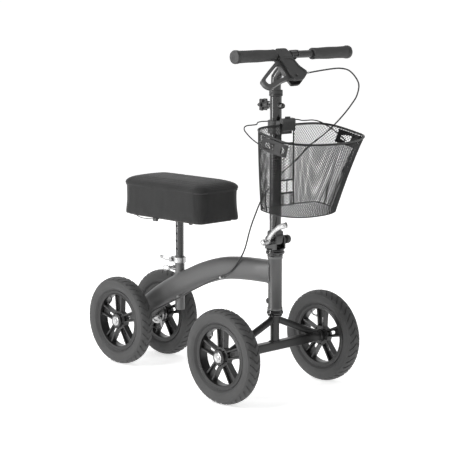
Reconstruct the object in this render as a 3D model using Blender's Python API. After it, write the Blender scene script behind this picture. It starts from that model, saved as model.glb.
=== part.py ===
"""Knee scooter: four spoked wheels, arched frame, padded knee rest, folding steering column,
looped brake lever, rear drum brake and a basket.  Metres, +Z up, the rider faces -Y."""
import math

import bmesh
import bpy
from mathutils import Matrix, Vector

GAP = 0.0003
AXLE_Z = 0.1525
TYRE_R = 0.1525
WHEEL_STEPS = 26
FRONT_Y = -0.263
REAR_Y = 0.387
FRONT_X = 0.230
REAR_X = 0.1036
STEM_Y = -0.265
FOLD_Z = 0.497
BOLT_Z = 0.932
BAR_Y = -0.339
BAR_Z = 1.0956
BAR_R = 0.012
BAR_HALF = 0.2568
SEAT_Y = 0.193
LEVER_PIVOT = (-0.062, 0.095)
ROOT_HALF = math.sqrt(0.5)

AXES = {}

for old in list(bpy.data.objects):
    bpy.data.objects.remove(old, do_unlink=True)

COLOURS = {"grey_paint": ((0.20, 0.20, 0.21), 0.3, 0.45), "black_paint": ((0.02, 0.02, 0.02), 0.2, 0.25),
           "black_plastic": ((0.035, 0.035, 0.035), 0.0, 0.5), "steel": ((0.65, 0.65, 0.66), 1.0, 0.28),
           "rubber": ((0.06, 0.06, 0.06), 0.0, 0.8), "foam": ((0.05, 0.05, 0.05), 0.0, 0.9),
           "fabric": ((0.04, 0.04, 0.04), 0.0, 0.9), "wood": ((0.30, 0.20, 0.11), 0.0, 0.6),
           "wire": ((0.03, 0.03, 0.03), 0.4, 0.4),}


def material(name, kind):
    mat = bpy.data.materials.new(name)
    mat.use_nodes = True
    colour, metal, rough = COLOURS[kind]
    shader = mat.node_tree.nodes["Principled BSDF"]
    shader.inputs["Base Color"].default_value = (*colour, 1.0)
    shader.inputs["Metallic"].default_value = metal
    shader.inputs["Roughness"].default_value = rough
    mat.diffuse_color = (*colour, 1.0)
    return mat


def build(name, kind, verts, faces, smooth=40.0):
    """Make one object; faces meeting at less than the smooth angle are shaded round."""
    mesh = bpy.data.meshes.new(name)
    mesh.from_pydata([tuple(v) for v in verts], [], faces)
    work = bmesh.new()
    work.from_mesh(mesh)
    bmesh.ops.remove_doubles(work, verts=work.verts, dist=1e-6)
    bmesh.ops.recalc_face_normals(work, faces=work.faces)
    work.to_mesh(mesh)
    work.free()
    obj = bpy.data.objects.new(name, mesh)
    bpy.context.scene.collection.objects.link(obj)
    mesh.materials.append(material(name, kind))
    shade(obj, smooth)
    return obj


def shade(obj, smooth):
    mesh = obj.data
    for face in mesh.polygons:
        face.use_smooth = smooth > 0
    if smooth > 0:
        mesh.set_sharp_from_angle(angle=math.radians(smooth))


def evaluated(obj, smooth):
    """Replace the object's mesh with its mesh after the modifiers."""
    bpy.context.view_layer.update()
    graph = bpy.context.evaluated_depsgraph_get()
    result = bpy.data.meshes.new_from_object(obj.evaluated_get(graph))
    obj.modifiers.clear()
    obj.data = result
    shade(obj, smooth)


def boolean(obj, others, operation, smooth=40.0):
    for other in others:
        mod = obj.modifiers.new("shape", "BOOLEAN")
        mod.operation = operation
        mod.solver = "EXACT"
        mod.object = other
        evaluated(obj, smooth)
        bpy.data.objects.remove(other, do_unlink=True)
    while len(obj.data.materials) > 1:
        obj.data.materials.pop(index=1)
    for face in obj.data.polygons:
        face.material_index = 0
    return obj


def axis_frame(axis):
    """Rotation taking +Z to the given direction."""
    return Vector((0, 0, 1)).rotation_difference(Vector(axis).normalized()).to_matrix()


def lathe(name, kind, profile, axis, centre, steps=24, smooth=40.0):
    """Turn a closed (radius, height) outline about an axis; outlines may touch radius zero."""
    turn = axis_frame(axis)
    centre = Vector(centre)
    verts = []
    rings = []
    for radius, height in profile:
        if radius < 1e-7:
            rings.append([len(verts)] * steps)
            verts.append(centre + turn @ Vector((0, 0, height)))
            continue
        rings.append(list(range(len(verts), len(verts) + steps)))
        for i in range(steps):
            a = math.tau * i / steps
            verts.append(centre + turn @ Vector((radius * math.cos(a), radius * math.sin(a), height)))
    faces = []
    count = len(profile)
    for k in range(count):
        low, high = rings[k], rings[(k + 1) % count]
        for i in range(steps):
            j = (i + 1) % steps
            face = []
            for v in (low[i], low[j], high[j], high[i]):
                if v not in face:
                    face.append(v)
            if len(face) > 2:
                faces.append(face)
    return build(name, kind, verts, faces, smooth)


def rod(name, kind, radius, start, end, steps=20):
    start, end = Vector(start), Vector(end)
    length = (end - start).length
    return lathe(name, kind, [(0, 0), (radius, 0), (radius, length), (0, length)], end - start, start,
                 steps)


def tube(name, kind, outer, inner, start, end, steps=24):
    start, end = Vector(start), Vector(end)
    length = (end - start).length
    outline = [(inner, 0), (outer, 0), (outer, length), (inner, length)]
    return lathe(name, kind, outline, end - start, start, steps)


def box(name, kind, low, high, bevel=0.0, segments=2):
    x0, y0, z0 = low
    x1, y1, z1 = high
    verts = [(x, y, z) for z in (z0, z1) for x, y in ((x0, y0), (x1, y0), (x1, y1), (x0, y1))]
    faces = [(0, 3, 2, 1), (4, 5, 6, 7), (0, 1, 5, 4), (1, 2, 6, 5), (2, 3, 7, 6), (3, 0, 4, 7)]
    obj = build(name, kind, verts, faces, 0)
    if bevel > 0:
        mod = obj.modifiers.new("edge", "BEVEL")
        mod.width = bevel
        mod.segments = segments
        mod.limit_method = "NONE"
        evaluated(obj, 40)
    return obj


def prism(name, kind, outline, half, origin, side, up, smooth=40.0):
    """Extrude a flat outline, given along side and up, by half each way along their normal."""
    side, up = Vector(side).normalized(), Vector(up).normalized()
    normal = side.cross(up)
    origin = Vector(origin)
    count = len(outline)
    verts = [origin + side * a + up * b + normal * s for s in (-half, half) for a, b in outline]
    faces = [list(range(count))[::-1], list(range(count, 2 * count))]
    for i in range(count):
        j = (i + 1) % count
        faces.append((i, j, count + j, count + i))
    return build(name, kind, verts, faces, smooth)


def sweep(name, kind, path, section, side, closed=False, inner=None, smooth=40.0):
    """Carry a section along a path; side is the direction that the section's first axis keeps."""
    path = [Vector(p) for p in path]
    side = Vector(side).normalized()
    loops = [section] if inner is None else [section, inner]
    verts = []
    count = len(path)
    size = len(section)
    for k, point in enumerate(path):
        if closed:
            ahead, behind = path[(k + 1) % count], path[k - 1]
        else:
            ahead, behind = path[min(k + 1, count - 1)], path[max(k - 1, 0)]
        along = (ahead - behind).normalized()
        first = (side - along * side.dot(along)).normalized()
        second = along.cross(first)
        for loop in loops:
            verts.extend(point + first * a + second * b for a, b in loop)
    stride = size * len(loops)
    faces = []
    last = count if closed else count - 1
    for k in range(last):
        here, there = k * stride, ((k + 1) % count) * stride
        for shift in range(0, stride, size):
            for i in range(size):
                j = (i + 1) % size
                faces.append((here + shift + i, here + shift + j, there + shift + j, there + shift + i))
    if not closed:
        for base in (0, (count - 1) * stride):
            if inner is None:
                faces.append([base + i for i in range(size)])
            else:
                for i in range(size):
                    j = (i + 1) % size
                    faces.append((base + i, base + j, base + size + j, base + size + i))
    return build(name, kind, verts, faces, smooth)


def ring_points(a, b, count, power=2.0):
    points = []
    for i in range(count):
        t = math.tau * (i + 0.5) / count
        c, s = math.cos(t), math.sin(t)
        points.append((a * math.copysign(abs(c) ** (2 / power), c),
                       b * math.copysign(abs(s) ** (2 / power), s)))
    return points


def smooth_path(points, per_leg=4):
    """Catmull-Rom curve through the given points."""
    points = [Vector(p) for p in points]
    path = []
    for k in range(len(points) - 1):
        p0, p1 = points[max(k - 1, 0)], points[k]
        p2, p3 = points[k + 1], points[min(k + 2, len(points) - 1)]
        for i in range(per_leg):
            t = i / per_leg
            path.append(0.5 * ((2 * p1) + (p2 - p0) * t + (2 * p0 - 5 * p1 + 4 * p2 - p3) * t * t + (3 * p1 - p0 - 3 * p2 + p3) * t ** 3))
    path.append(points[-1])
    return path


def wheel(tag, x, y):
    """Hollow tyre and five-spoke rim with its hub."""
    centre = (x, y, AXLE_Z)
    half = [(0.0990, 0.0105), (0.0990, 0.0142), (0.1062, 0.0145), (0.1220, 0.0270), (0.1390, 0.0258),
            (0.1490, 0.0170)]
    inside = [(0.1300, 0.0215)]
    outline = half + [(TYRE_R, 0.0)] + [(r, -h) for r, h in reversed(half)]
    outline += [(r, -h) for r, h in reversed(inside)] + [(0.1478, 0.0)] + inside
    tyre = lathe("tyre_" + tag, "rubber", outline, (1, 0, 0), centre, WHEEL_STEPS)

    seat = [(0.1050, 0.0166), (0.1050, 0.0149), (0.0986, 0.0146)]
    outline = seat + [(r, -h) for r, h in reversed(seat)]
    outline += [(0.0915, -0.0166), (0.0915, 0.0166)]
    rim = lathe("rim_" + tag, "black_plastic", outline, (1, 0, 0), centre, WHEEL_STEPS)
    outline = [(0.0064, 0.0220), (0.0200, 0.0220), (0.0205, 0.0145), (0.0330, 0.0125)]
    outline += [(r, -h) for r, h in reversed(outline)]
    hub = lathe("hub", "black_plastic", outline, (1, 0, 0), centre, 16)
    parts = [hub]
    channel = [(-0.0190, -0.0110), (0.0190, -0.0110), (0.0190, 0.0110), (0.0120, 0.0110),
               (0.0120, 0.0030), (-0.0120, 0.0030), (-0.0120, 0.0110), (-0.0190, 0.0110)]
    for k in range(5):
        a = math.tau * k / 5 + math.pi / 2
        out = Vector((0, math.cos(a), math.sin(a)))
        across = Vector((0, -math.sin(a), math.cos(a)))
        face = math.copysign(1.0, x)
        verts = []
        for r, wide in ((0.0300, 0.72), (0.0925, 1.0)):
            verts.extend(Vector(centre) + out * r + across * (u * wide) + Vector((h * face, 0, 0)) for u,
                         h in channel)
        faces = [list(range(8)), list(range(8, 16))]
        faces += [(i, (i + 1) % 8, 8 + (i + 1) % 8, 8 + i) for i in range(8)]
        parts.append(build("spoke", "black_plastic", verts, faces))
    boolean(rim, parts, "UNION")
    for name in (tyre.name, rim.name):
        AXES[name] = centre


def axle(name, y, plug_from, plug_to, plug_r, inner, outer):
    half = [(0.0060, 0.0), (0.0060, plug_from), (plug_r, plug_from), (plug_r, plug_to), (0.0060, plug_to),
            (0.0060, inner), (0.0165, inner), (0.0165, inner + 0.0022), (0.0090, inner + 0.0024),
            (0.0085, outer), (0.0, outer)]
    outline = [(r, -h) for r, h in reversed(half)] + half[1:]
    lathe(name, "steel", outline, (1, 0, 0), (0, y, AXLE_Z), 12)


for side_tag, sign in (("left", 1), ("right", -1)):
    wheel("front_" + side_tag, sign * FRONT_X, FRONT_Y)
    wheel("rear_" + side_tag, sign * REAR_X, REAR_Y)
axle("front_axle", FRONT_Y, 0.188, 0.204, 0.0106, FRONT_X + 0.0224, FRONT_X + 0.0272)
axle("rear_axle", REAR_Y, 0.042, 0.058, 0.0131, REAR_X + 0.0224, REAR_X + 0.0272)

# Steered truss: cross beam, post, two braces, race and steerer.
beam = sweep("fork_beam", "grey_paint", [(-0.2065, FRONT_Y, AXLE_Z), (0.2065, FRONT_Y, AXLE_Z)],
             ring_points(0.0145, 0.0145, 12, 7.0), (0, 0, 1), inner=ring_points(0.0112, 0.0112, 12, 7.0))
box("fork_post", "grey_paint", (-0.015, STEM_Y - 0.010, AXLE_Z + 0.0148), (0.015, STEM_Y + 0.010, 0.2520),
    0.003)
for side_tag, sign in (("left", 1), ("right", -1)):
    brace = sweep("fork_brace_" + side_tag, "grey_paint",
                  [(sign * 0.004, FRONT_Y, 0.2420), (sign * 0.192, FRONT_Y, 0.1650)],
                  ring_points(0.0115, 0.0115, 12), (0, 1, 0), inner=ring_points(0.0090, 0.0090, 12))
    keep_off = [box("cut", "steel", (-0.0153, FRONT_Y - 0.03, 0.16), (0.0153, FRONT_Y + 0.03, 0.28)),
                box("cut", "steel", (-0.25, FRONT_Y - 0.03, 0.12),
                    (0.25, FRONT_Y + 0.03, AXLE_Z + 0.0148))]
    boolean(brace, keep_off, "DIFFERENCE")
lathe("crown_race", "black_paint", [(0, 0.2523), (0.0240, 0.2523), (0.0240, 0.2560), (0.0185, 0.2587),
                                    (0, 0.2587)], (0, 0, 1), (0, STEM_Y, 0))
tube("steerer", "steel", 0.0143, 0.0115, (0, STEM_Y, 0.2590), (0, STEM_Y, 0.4642), 20)

# Frame: head tube with its cups, arched main tube, seat tube, rear beam.
lathe("head_tube", "grey_paint", [(0.0190, 0.2722), (0.0235, 0.2722), (0.0235, 0.2760), (0.0225, 0.2800),
                                  (0.0225, 0.4400), (0.0245, 0.4465), (0.0190, 0.4465)], (0, 0, 1),
      (0, STEM_Y, 0), 20)
lathe("cup_bottom", "black_paint", [(0.0147, 0.2590), (0.0200, 0.2590), (0.0270, 0.2620),
                                    (0.0270, 0.2719), (0.0147, 0.2719)], (0, 0, 1), (0, STEM_Y, 0), 24)
lathe("cup_top", "black_paint", [(0.0147, 0.4468), (0.0255, 0.4468), (0.0310, 0.4530), (0.0310, 0.4600),
                                 (0.0147, 0.4640)], (0, 0, 1), (0, STEM_Y, 0), 24)
boolean(bpy.data.objects["head_tube"],
        [rod("boss", "grey_paint", 0.0090, (-0.0127, STEM_Y + 0.0150, 0.300),
             (-0.0195, STEM_Y + 0.0238, 0.300), 14)], "UNION")

arch = smooth_path([(0, -0.262, 0.3935), (0, -0.168, 0.3915), (0, -0.090, 0.3860), (0, -0.020, 0.3750),
                    (0, 0.060, 0.3505), (0, 0.130, 0.3205), (0, 0.205, 0.2850), (0, 0.280, 0.2440),
                    (0, 0.352, 0.1950), (0, 0.384, 0.1720)], 1)
main = sweep("main_tube", "grey_paint", arch, ring_points(0.0280, 0.0375, 16, 2.5), (1, 0, 0),
             inner=ring_points(0.0255, 0.0350, 16, 2.5))
boolean(main, [rod("cut", "steel", 0.0228, (0, STEM_Y, 0.2), (0, STEM_Y, 0.6), 20),
               box("cut", "steel", (-0.1, STEM_Y - 0.06, 0.2), (0.1, STEM_Y, 0.6)),
               rod("cut", "steel", 0.0163, (-0.2, REAR_Y, AXLE_Z), (0.2, REAR_Y, AXLE_Z), 24),
               box("cut", "steel", (-0.1, REAR_Y - 0.012, 0.05), (0.1, REAR_Y + 0.1, AXLE_Z)),
               box("cut", "steel", (-0.1, REAR_Y, 0.05), (0.1, REAR_Y + 0.1, 0.3)),
               rod("cut", "steel", 0.0168, (0, SEAT_Y, 0.1), (0, SEAT_Y, 0.5), 24)], "DIFFERENCE")
boolean(main, [box("clip", "grey_paint", (-0.0390, -0.0520, 0.3465), (-0.0180, -0.0440, 0.3580))], "UNION")
boolean(main, [rod("cut", "grey_paint", 0.0028, (-0.0335, -0.060, 0.3568), (-0.0335, -0.036, 0.3475),
                   12)], "DIFFERENCE")
tube("rear_beam", "grey_paint", 0.0160, 0.0134, (-0.0600, REAR_Y, AXLE_Z), (0.0600, REAR_Y, AXLE_Z), 24)

# Seat tube with its clamp, quick-release lever and pull pin.
seat_tube = tube("seat_tube", "black_paint", 0.0165, 0.0143, (0, SEAT_Y, 0.205), (0, SEAT_Y, 0.3900), 24)
PIN_DIR = Vector((-0.75, 0.66, 0)).normalized()
PIN_Z = 0.350
pin_root = Vector((0, SEAT_Y, PIN_Z))
boolean(seat_tube, [rod("cut", "steel", 0.0035, pin_root + PIN_DIR * 0.010, pin_root + PIN_DIR * 0.03,
                        14)], "DIFFERENCE")
clamp = tube("seat_clamp", "steel", 0.0215, 0.0168, (0, SEAT_Y, 0.3680), (0, SEAT_Y, 0.3880), 20)
ears = [box("ear", "steel", (-0.0095, SEAT_Y + 0.0185, 0.3690), (-0.0025, SEAT_Y + 0.0360, 0.3870)),
        box("ear", "steel", (0.0025, SEAT_Y + 0.0185, 0.3690), (0.0095, SEAT_Y + 0.0360, 0.3870))]
boolean(clamp, ears, "UNION")
CLAMP_BOLT = Vector((0, SEAT_Y + 0.0280, 0.3780))
boolean(clamp, [box("cut", "steel", (-0.0025, SEAT_Y + 0.012, 0.36), (0.0025, SEAT_Y + 0.05, 0.40))],
        "DIFFERENCE")
clamp_bolt = lathe("bolt", "steel", [(0, -0.0240), (0.0030, -0.0240), (0.0030, 0.0092), (0.0080, 0.0092),
                                     (0.0080, 0.0160), (0, 0.0160)], (1, 0, 0), CLAMP_BOLT, 12)
boolean(clamp, [clamp_bolt], "UNION")
lever_path = smooth_path([(-0.0165, CLAMP_BOLT.y + 0.004, 0.378), (-0.0175, CLAMP_BOLT.y + 0.022, 0.379),
                          (-0.0190, CLAMP_BOLT.y + 0.034, 0.381), (-0.0230, CLAMP_BOLT.y + 0.045, 0.383)],
                         2)
seat_lever = sweep("seat_clamp_lever", "steel", lever_path, ring_points(0.0065, 0.0026, 8, 3.0), (0, 0, 1))
lever_hub = rod("hub", "steel", 0.0085, (-0.0225, CLAMP_BOLT.y, 0.378), (-0.0099, CLAMP_BOLT.y, 0.378), 18)
boolean(seat_lever, [lever_hub], "UNION")
boolean(seat_lever, [rod("cut", "steel", 0.0033, (-0.04, CLAMP_BOLT.y, 0.378), (0, CLAMP_BOLT.y, 0.378),
                         14)], "DIFFERENCE")

pin_turn = axis_frame(PIN_DIR)
sleeve = lathe("sleeve", "steel", [(0.0035, 0.0155), (0.0085, 0.0155), (0.0085, 0.0240), (0.0065, 0.0250),
                                   (0.0065, 0.0330), (0.0035, 0.0330)], PIN_DIR, pin_root, 14)
boolean(seat_tube, [sleeve], "UNION")
pull_pin = lathe("pull_pin", "steel", [(0, 0.0146), (0.0030, 0.0146), (0.0030, 0.0333), (0.0052, 0.0333),
                                       (0.0052, 0.0372), (0.0025, 0.0390), (0, 0.0390)], PIN_DIR,
                 pin_root, 12)
ring_centre = pin_root + PIN_DIR * 0.0480
ring_path = []
for i in range(16):
    a = math.tau * (i + 0.5) / 16
    ring_path.append(ring_centre + PIN_DIR * (0.0090 * math.cos(a)) + Vector((0, 0, 0.0090 * math.sin(a))))
pull_ring = sweep("ring", "steel", ring_path, ring_points(0.0012, 0.0012, 6),
                  PIN_DIR.cross(Vector((0, 0, 1))), closed=True)
boolean(pull_pin, [pull_ring], "UNION")

# Seat: post, bracket, board, bolts, cushion, drawcord and cord lock.
post = tube("seat_post", "black_paint", 0.0140, 0.0120, (0, SEAT_Y, 0.260), (0, SEAT_Y, 0.5205), 20)
holes = [rod("cut", "steel", 0.0036, (-0.03, SEAT_Y, 0.4180 + 0.026 * k),
             (0.03, SEAT_Y, 0.4180 + 0.026 * k), 8) for k in range(4)]
boolean(post, holes, "DIFFERENCE")
bracket = box("seat_bracket", "black_paint", (-0.055, SEAT_Y - 0.115, 0.5208),
              (0.055, SEAT_Y + 0.085, 0.5248))
board = box("seat_board", "wood", (-0.0780, 0.0080, 0.5252), (0.0780, 0.3610, 0.5372), 0.002, 1)
BOLTS = [(-0.040, SEAT_Y - 0.100), (0.040, SEAT_Y - 0.100), (-0.040, SEAT_Y + 0.070),
         (0.040, SEAT_Y + 0.070)]
for x, y in BOLTS:
    head = lathe("head", "black_paint", [(0, 0.5100), (0.0068, 0.5110), (0.0068, 0.5220), (0, 0.5220)],
                 (0, 0, 1), (x, y, 0), 12)
    boolean(bracket, [head], "UNION", 40)


def cushion_ring(half_x, y0, y1, z, radius):
    """A rectangle with rounded corners at one height."""
    ring = []
    for qx, qy, turn in ((1, 1, 0.0), (-1, 1, 0.5), (-1, -1, 1.0), (1, -1, 1.5)):
        cx = qx * (half_x - radius)
        cy = (y1 - radius) if qy > 0 else (y0 + radius)
        for k in range(5):
            a = math.pi * (turn + k / 8)
            ring.append((cx + radius * math.cos(a), cy + radius * math.sin(a), z))
    return ring


layers = [(0.0835, 0.0025, 0.3665, 0.5376, 0.016), (0.0835, 0.0025, 0.3665, 0.5325, 0.016),
          (0.0900, -0.0060, 0.3750, 0.5300, 0.024), (0.0975, -0.0150, 0.3840, 0.5400, 0.032),
          (0.0985, -0.0165, 0.3855, 0.5500, 0.034), (0.0985, -0.0165, 0.3855, 0.6200, 0.034),
          (0.0970, -0.0150, 0.3840, 0.6340, 0.034), (0.0985, -0.0165, 0.3855, 0.6430, 0.034),
          (0.0960, -0.0140, 0.3830, 0.6530, 0.034), (0.0820, 0.0000, 0.3690, 0.6600, 0.030),
          (0.0500, 0.0350, 0.3340, 0.6650, 0.026)]
verts = []
for layer in layers:
    verts.extend(cushion_ring(*layer))
count = 20
faces = [list(range(count))[::-1], list(range((len(layers) - 1) * count, len(layers) * count))]
for k in range(len(layers) - 1):
    for i in range(count):
        j = (i + 1) % count
        faces.append((k * count + i, k * count + j, (k + 1) * count + j, (k + 1) * count + i))
build("seat_cushion", "fabric", verts, faces, 60)
cord = smooth_path([(-0.084, 0.322, 0.5280), (-0.088, 0.308, 0.5258), (-0.091, 0.290, 0.5232),
                    (-0.092, 0.268, 0.5222), (-0.091, 0.246, 0.5232), (-0.090, 0.2265, 0.5245)], 2)
sweep("drawcord", "fabric", cord, ring_points(0.0014, 0.0014, 6), (0, 0, 1))
box("cord_lock", "black_plastic", (-0.0960, 0.2050, 0.5180), (-0.0840, 0.2260, 0.5296), 0.002, 1)

# Folding joint: fork-mounted base, tiller foot, skewer, cam lever and knob.
base = lathe("fold_base", "black_paint",
             [(0, 0.4645), (0.0290, 0.4645), (0.0290, 0.4700), (0.0265, 0.4735), (0, 0.4735)], (0, 0, 1),
             (0, STEM_Y, 0), 24)
cheek = [(-0.0240, 0.4700), (0.0240, 0.4700), (0.0240, 0.5000)]
cheek += [(0.0240 * math.cos(a), 0.5000 + 0.0180 * math.sin(a)) for a in (0.5, 1.05, 1.57, 2.09, 2.64)]
cheek += [(-0.0240, 0.5000)]
cheeks = [prism("cheek", "black_paint", [(-a, b) for a, b in cheek], 0.0030, (sign * 0.0198, STEM_Y, 0),
                (0, 1, 0), (0, 0, 1)) for sign in (1, -1)]
boolean(base, cheeks, "UNION")
boolean(base, [rod("cut", "steel", 0.0053, (-0.05, STEM_Y, FOLD_Z), (0.05, STEM_Y, FOLD_Z), 16)],
        "DIFFERENCE")
foot = [(0.0205 * math.cos(a),
         FOLD_Z + 0.0205 * math.sin(a)) for a in [math.pi + math.pi * k / 10 for k in range(11)]]
foot += [(0.0205, 0.5240), (0.0185, 0.5297), (-0.0185, 0.5297), (-0.0205, 0.5240)]
block = prism("fold_foot", "black_paint", foot, 0.0162, (0, STEM_Y, 0), (0, 1, 0), (0, 0, 1))
boolean(block, [rod("cut", "steel", 0.0053, (-0.05, STEM_Y, FOLD_Z), (0.05, STEM_Y, FOLD_Z), 16)],
        "DIFFERENCE")
lathe("fold_skewer", "steel", [(0, -0.0610), (0.0070, -0.0610), (0.0092, -0.0590), (0.0092, -0.0520),
                               (0.0048, -0.0520), (0.0048, 0.0400), (0, 0.0400)], (1, 0, 0),
      (0, STEM_Y, FOLD_Z), 16)
lathe("fold_knob", "black_plastic", [(0.0050, 0.0232), (0.0085, 0.0232), (0.0090, 0.0420),
                                     (0.0135, 0.0440), (0.0140, 0.0580), (0.0120, 0.0620), (0, 0.0625),
                                     (0, 0.0404), (0.0050, 0.0404)], (1, 0, 0), (0, STEM_Y, FOLD_Z), 16)
cam_path = smooth_path([(-0.0390, STEM_Y - 0.004, FOLD_Z + 0.002),
                        (-0.0390, STEM_Y - 0.019, FOLD_Z + 0.024),
                        (-0.0390, STEM_Y - 0.038, FOLD_Z + 0.042),
                        (-0.0390, STEM_Y - 0.062, FOLD_Z + 0.056),
                        (-0.0390, STEM_Y - 0.090, FOLD_Z + 0.065)], 2)
cam = sweep("cam_lever", "steel", cam_path, ring_points(0.0090, 0.0042, 10, 3.0), (1, 0, 0))
cam_hub = rod("hub", "steel", 0.0115, (-0.0517, STEM_Y, FOLD_Z), (-0.0232, STEM_Y, FOLD_Z), 20)
boolean(cam, [cam_hub], "UNION")
boolean(cam, [rod("cut", "steel", 0.0051, (-0.07, STEM_Y, FOLD_Z), (0, STEM_Y, FOLD_Z), 16)], "DIFFERENCE")


# Tiller with height screw, collar; upper tube, bar and grips.
tiller = tube("tiller", "black_paint", 0.0190, 0.0169, (0, STEM_Y, 0.5300), (0, STEM_Y, 0.9617), 20)
boss = rod("boss", "black_paint", 0.0100, (0, STEM_Y + 0.0180, BOLT_Z), (0, STEM_Y + 0.0290, BOLT_Z), 14)
cap_nut = lathe("nut", "black_paint", [(0, 0.0180), (0.0095, 0.0180), (0.0095, 0.0300), (0.0070, 0.0345),
                                       (0, 0.0360)], (0, -1, 0), (0, STEM_Y, BOLT_Z), 14)
boolean(tiller, [boss, cap_nut], "UNION")
boolean(tiller, [rod("cut", "steel", 0.0045, (0, STEM_Y + 0.005, BOLT_Z), (0, STEM_Y + 0.04, BOLT_Z),
                     14)], "DIFFERENCE")
tube("tiller_collar", "black_plastic", 0.0220, 0.0169, (0, STEM_Y, 0.9620), (0, STEM_Y, 0.9820), 20)
star = []
for k in range(24):
    a = math.tau * k / 24
    r = 0.0180 + 0.0035 * math.cos(6 * a)
    star.append((r * math.cos(a), r * math.sin(a)))
knob = prism("star_knob", "black_plastic", star, 0.0065, (0, STEM_Y + 0.0560, BOLT_Z), (1, 0, 0),
             (0, 0, 1), 50)
stem = lathe("stem", "black_plastic", [(0, 0.0168), (0.0040, 0.0168), (0.0040, 0.0293), (0.0115, 0.0293),
                                       (0.0130, 0.0340), (0.0135, 0.0520), (0, 0.0520)], (0, 1, 0),
             (0, STEM_Y, BOLT_Z), 16)
boolean(knob, [stem], "UNION")

neck = smooth_path([(0, STEM_Y, 0.800), (0, STEM_Y, 1.000), (0, STEM_Y - 0.006, 1.028),
                    (0, STEM_Y - 0.030, 1.054), (0, BAR_Y, BAR_Z)], 3)
neck = [neck[0]] + neck[3:]
upper = sweep("upper_tube", "black_paint", neck, ring_points(0.0165, 0.0165, 16), (1, 0, 0),
              inner=ring_points(0.0142, 0.0142, 16))
boolean(upper, [rod("cut", "steel", BAR_R + GAP, (-0.05, BAR_Y, BAR_Z), (0.05, BAR_Y, BAR_Z), 24)],
        "DIFFERENCE")
tube("handlebar", "black_paint", BAR_R, 0.0098, (-0.2500, BAR_Y, BAR_Z), (0.2500, BAR_Y, BAR_Z), 24)
for side_tag, sign in (("left", 1), ("right", -1)):
    outline = [(0.0123, 0.0850), (0.0200, 0.0850), (0.0205, 0.0890), (0.0185, 0.0920), (0.0180, 0.1150),
               (0.0192, 0.1550), (0.0188, 0.2000), (0.0200, 0.2440), (0.0213, 0.2500), (0.0213, 0.2540),
               (0.0195, BAR_HALF), (0, BAR_HALF), (0, 0.2504), (0.0123, 0.2504)]
    lathe("grip_" + side_tag, "foam", outline, (sign, 0, 0), (0, BAR_Y, BAR_Z), 18)

# Brake lever set, drawn in the plane through the bar that leans 45 degrees forward and down.
ORIGIN = Vector((0, BAR_Y, BAR_Z))
DOWN = Vector((0, -ROOT_HALF, -ROOT_HALF))
NORMAL = Vector((0, ROOT_HALF, -ROOT_HALF))


def on_plane(a, b, out=0.0):
    return ORIGIN + Vector((a, 0, 0)) + DOWN * b + NORMAL * out


shell = [(-0.0830, -0.0145), (-0.0330, -0.0150), (-0.0280, -0.0020), (-0.0290, 0.0300), (-0.0240, 0.0600),
         (-0.0085, 0.0810), (-0.0130, 0.0910), (-0.0460, 0.1150), (-0.0830, 0.1160), (-0.0860, 0.1100),
         (-0.0860, 0.0240), (-0.0830, 0.0230)]
housing = prism("brake_housing", "black_plastic", shell, 0.0150, ORIGIN, (1, 0, 0), DOWN)
pivot = on_plane(*LEVER_PIVOT)
slot = prism("cut", "steel", [(-0.10, 0.0230), (-0.0400, 0.0230), (-0.0380, 0.0800), (-0.0420, 0.14),
                              (-0.10, 0.14)], 0.0085, ORIGIN, (1, 0, 0), DOWN)
boolean(housing, [rod("cut", "steel", BAR_R + GAP, (-0.2, BAR_Y, BAR_Z), (0.1, BAR_Y, BAR_Z), 24), slot],
        "DIFFERENCE")
boolean(housing, [rod("pin", "steel", 0.0030, pivot - NORMAL * 0.0160, pivot + NORMAL * 0.0160, 12)],
        "UNION")
loop_outer = [(-0.0720, 0.0320), (-0.0860, 0.0290), (-0.1022, 0.0300), (-0.1560, 0.0625),
              (-0.2070, 0.0945), (-0.2160, 0.1040), (-0.2150, 0.1210), (-0.2060, 0.1315),
              (-0.1930, 0.1355), (-0.1310, 0.1115), (-0.0890, 0.1010), (-0.0740, 0.1030),
              (-0.0600, 0.1045), (-0.0520, 0.0980), (-0.0530, 0.0890), (-0.0620, 0.0700),
              (-0.0660, 0.0400)]
loop_inner = [(-0.0960, 0.0440), (-0.1000, 0.0420), (-0.1050, 0.0440), (-0.1480, 0.0700),
              (-0.1940, 0.0985), (-0.1990, 0.1050), (-0.1975, 0.1150), (-0.1910, 0.1195),
              (-0.1330, 0.1000), (-0.1010, 0.0900), (-0.0960, 0.0840)]
lever = prism("brake_lever", "black_plastic", loop_outer, 0.0065, ORIGIN, (1, 0, 0), DOWN)
window = prism("cut", "steel", loop_inner, 0.02, ORIGIN, (1, 0, 0), DOWN)
boolean(lever, [window, rod("cut", "steel", 0.0033, pivot - NORMAL * 0.03, pivot + NORMAL * 0.03, 14)],
        "DIFFERENCE")
ADJUST = on_plane(-0.0078, 0.0800)
EXIT_DIR = Vector((1, -0.12, 0.10)).normalized()
lathe("barrel_adjuster", "steel", [(0, 0.0), (0.0045, 0.0), (0.0045, 0.0080), (0.0034, 0.0090),
                                   (0.0034, 0.0180), (0, 0.0180)], EXIT_DIR, ADJUST, 14)

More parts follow.
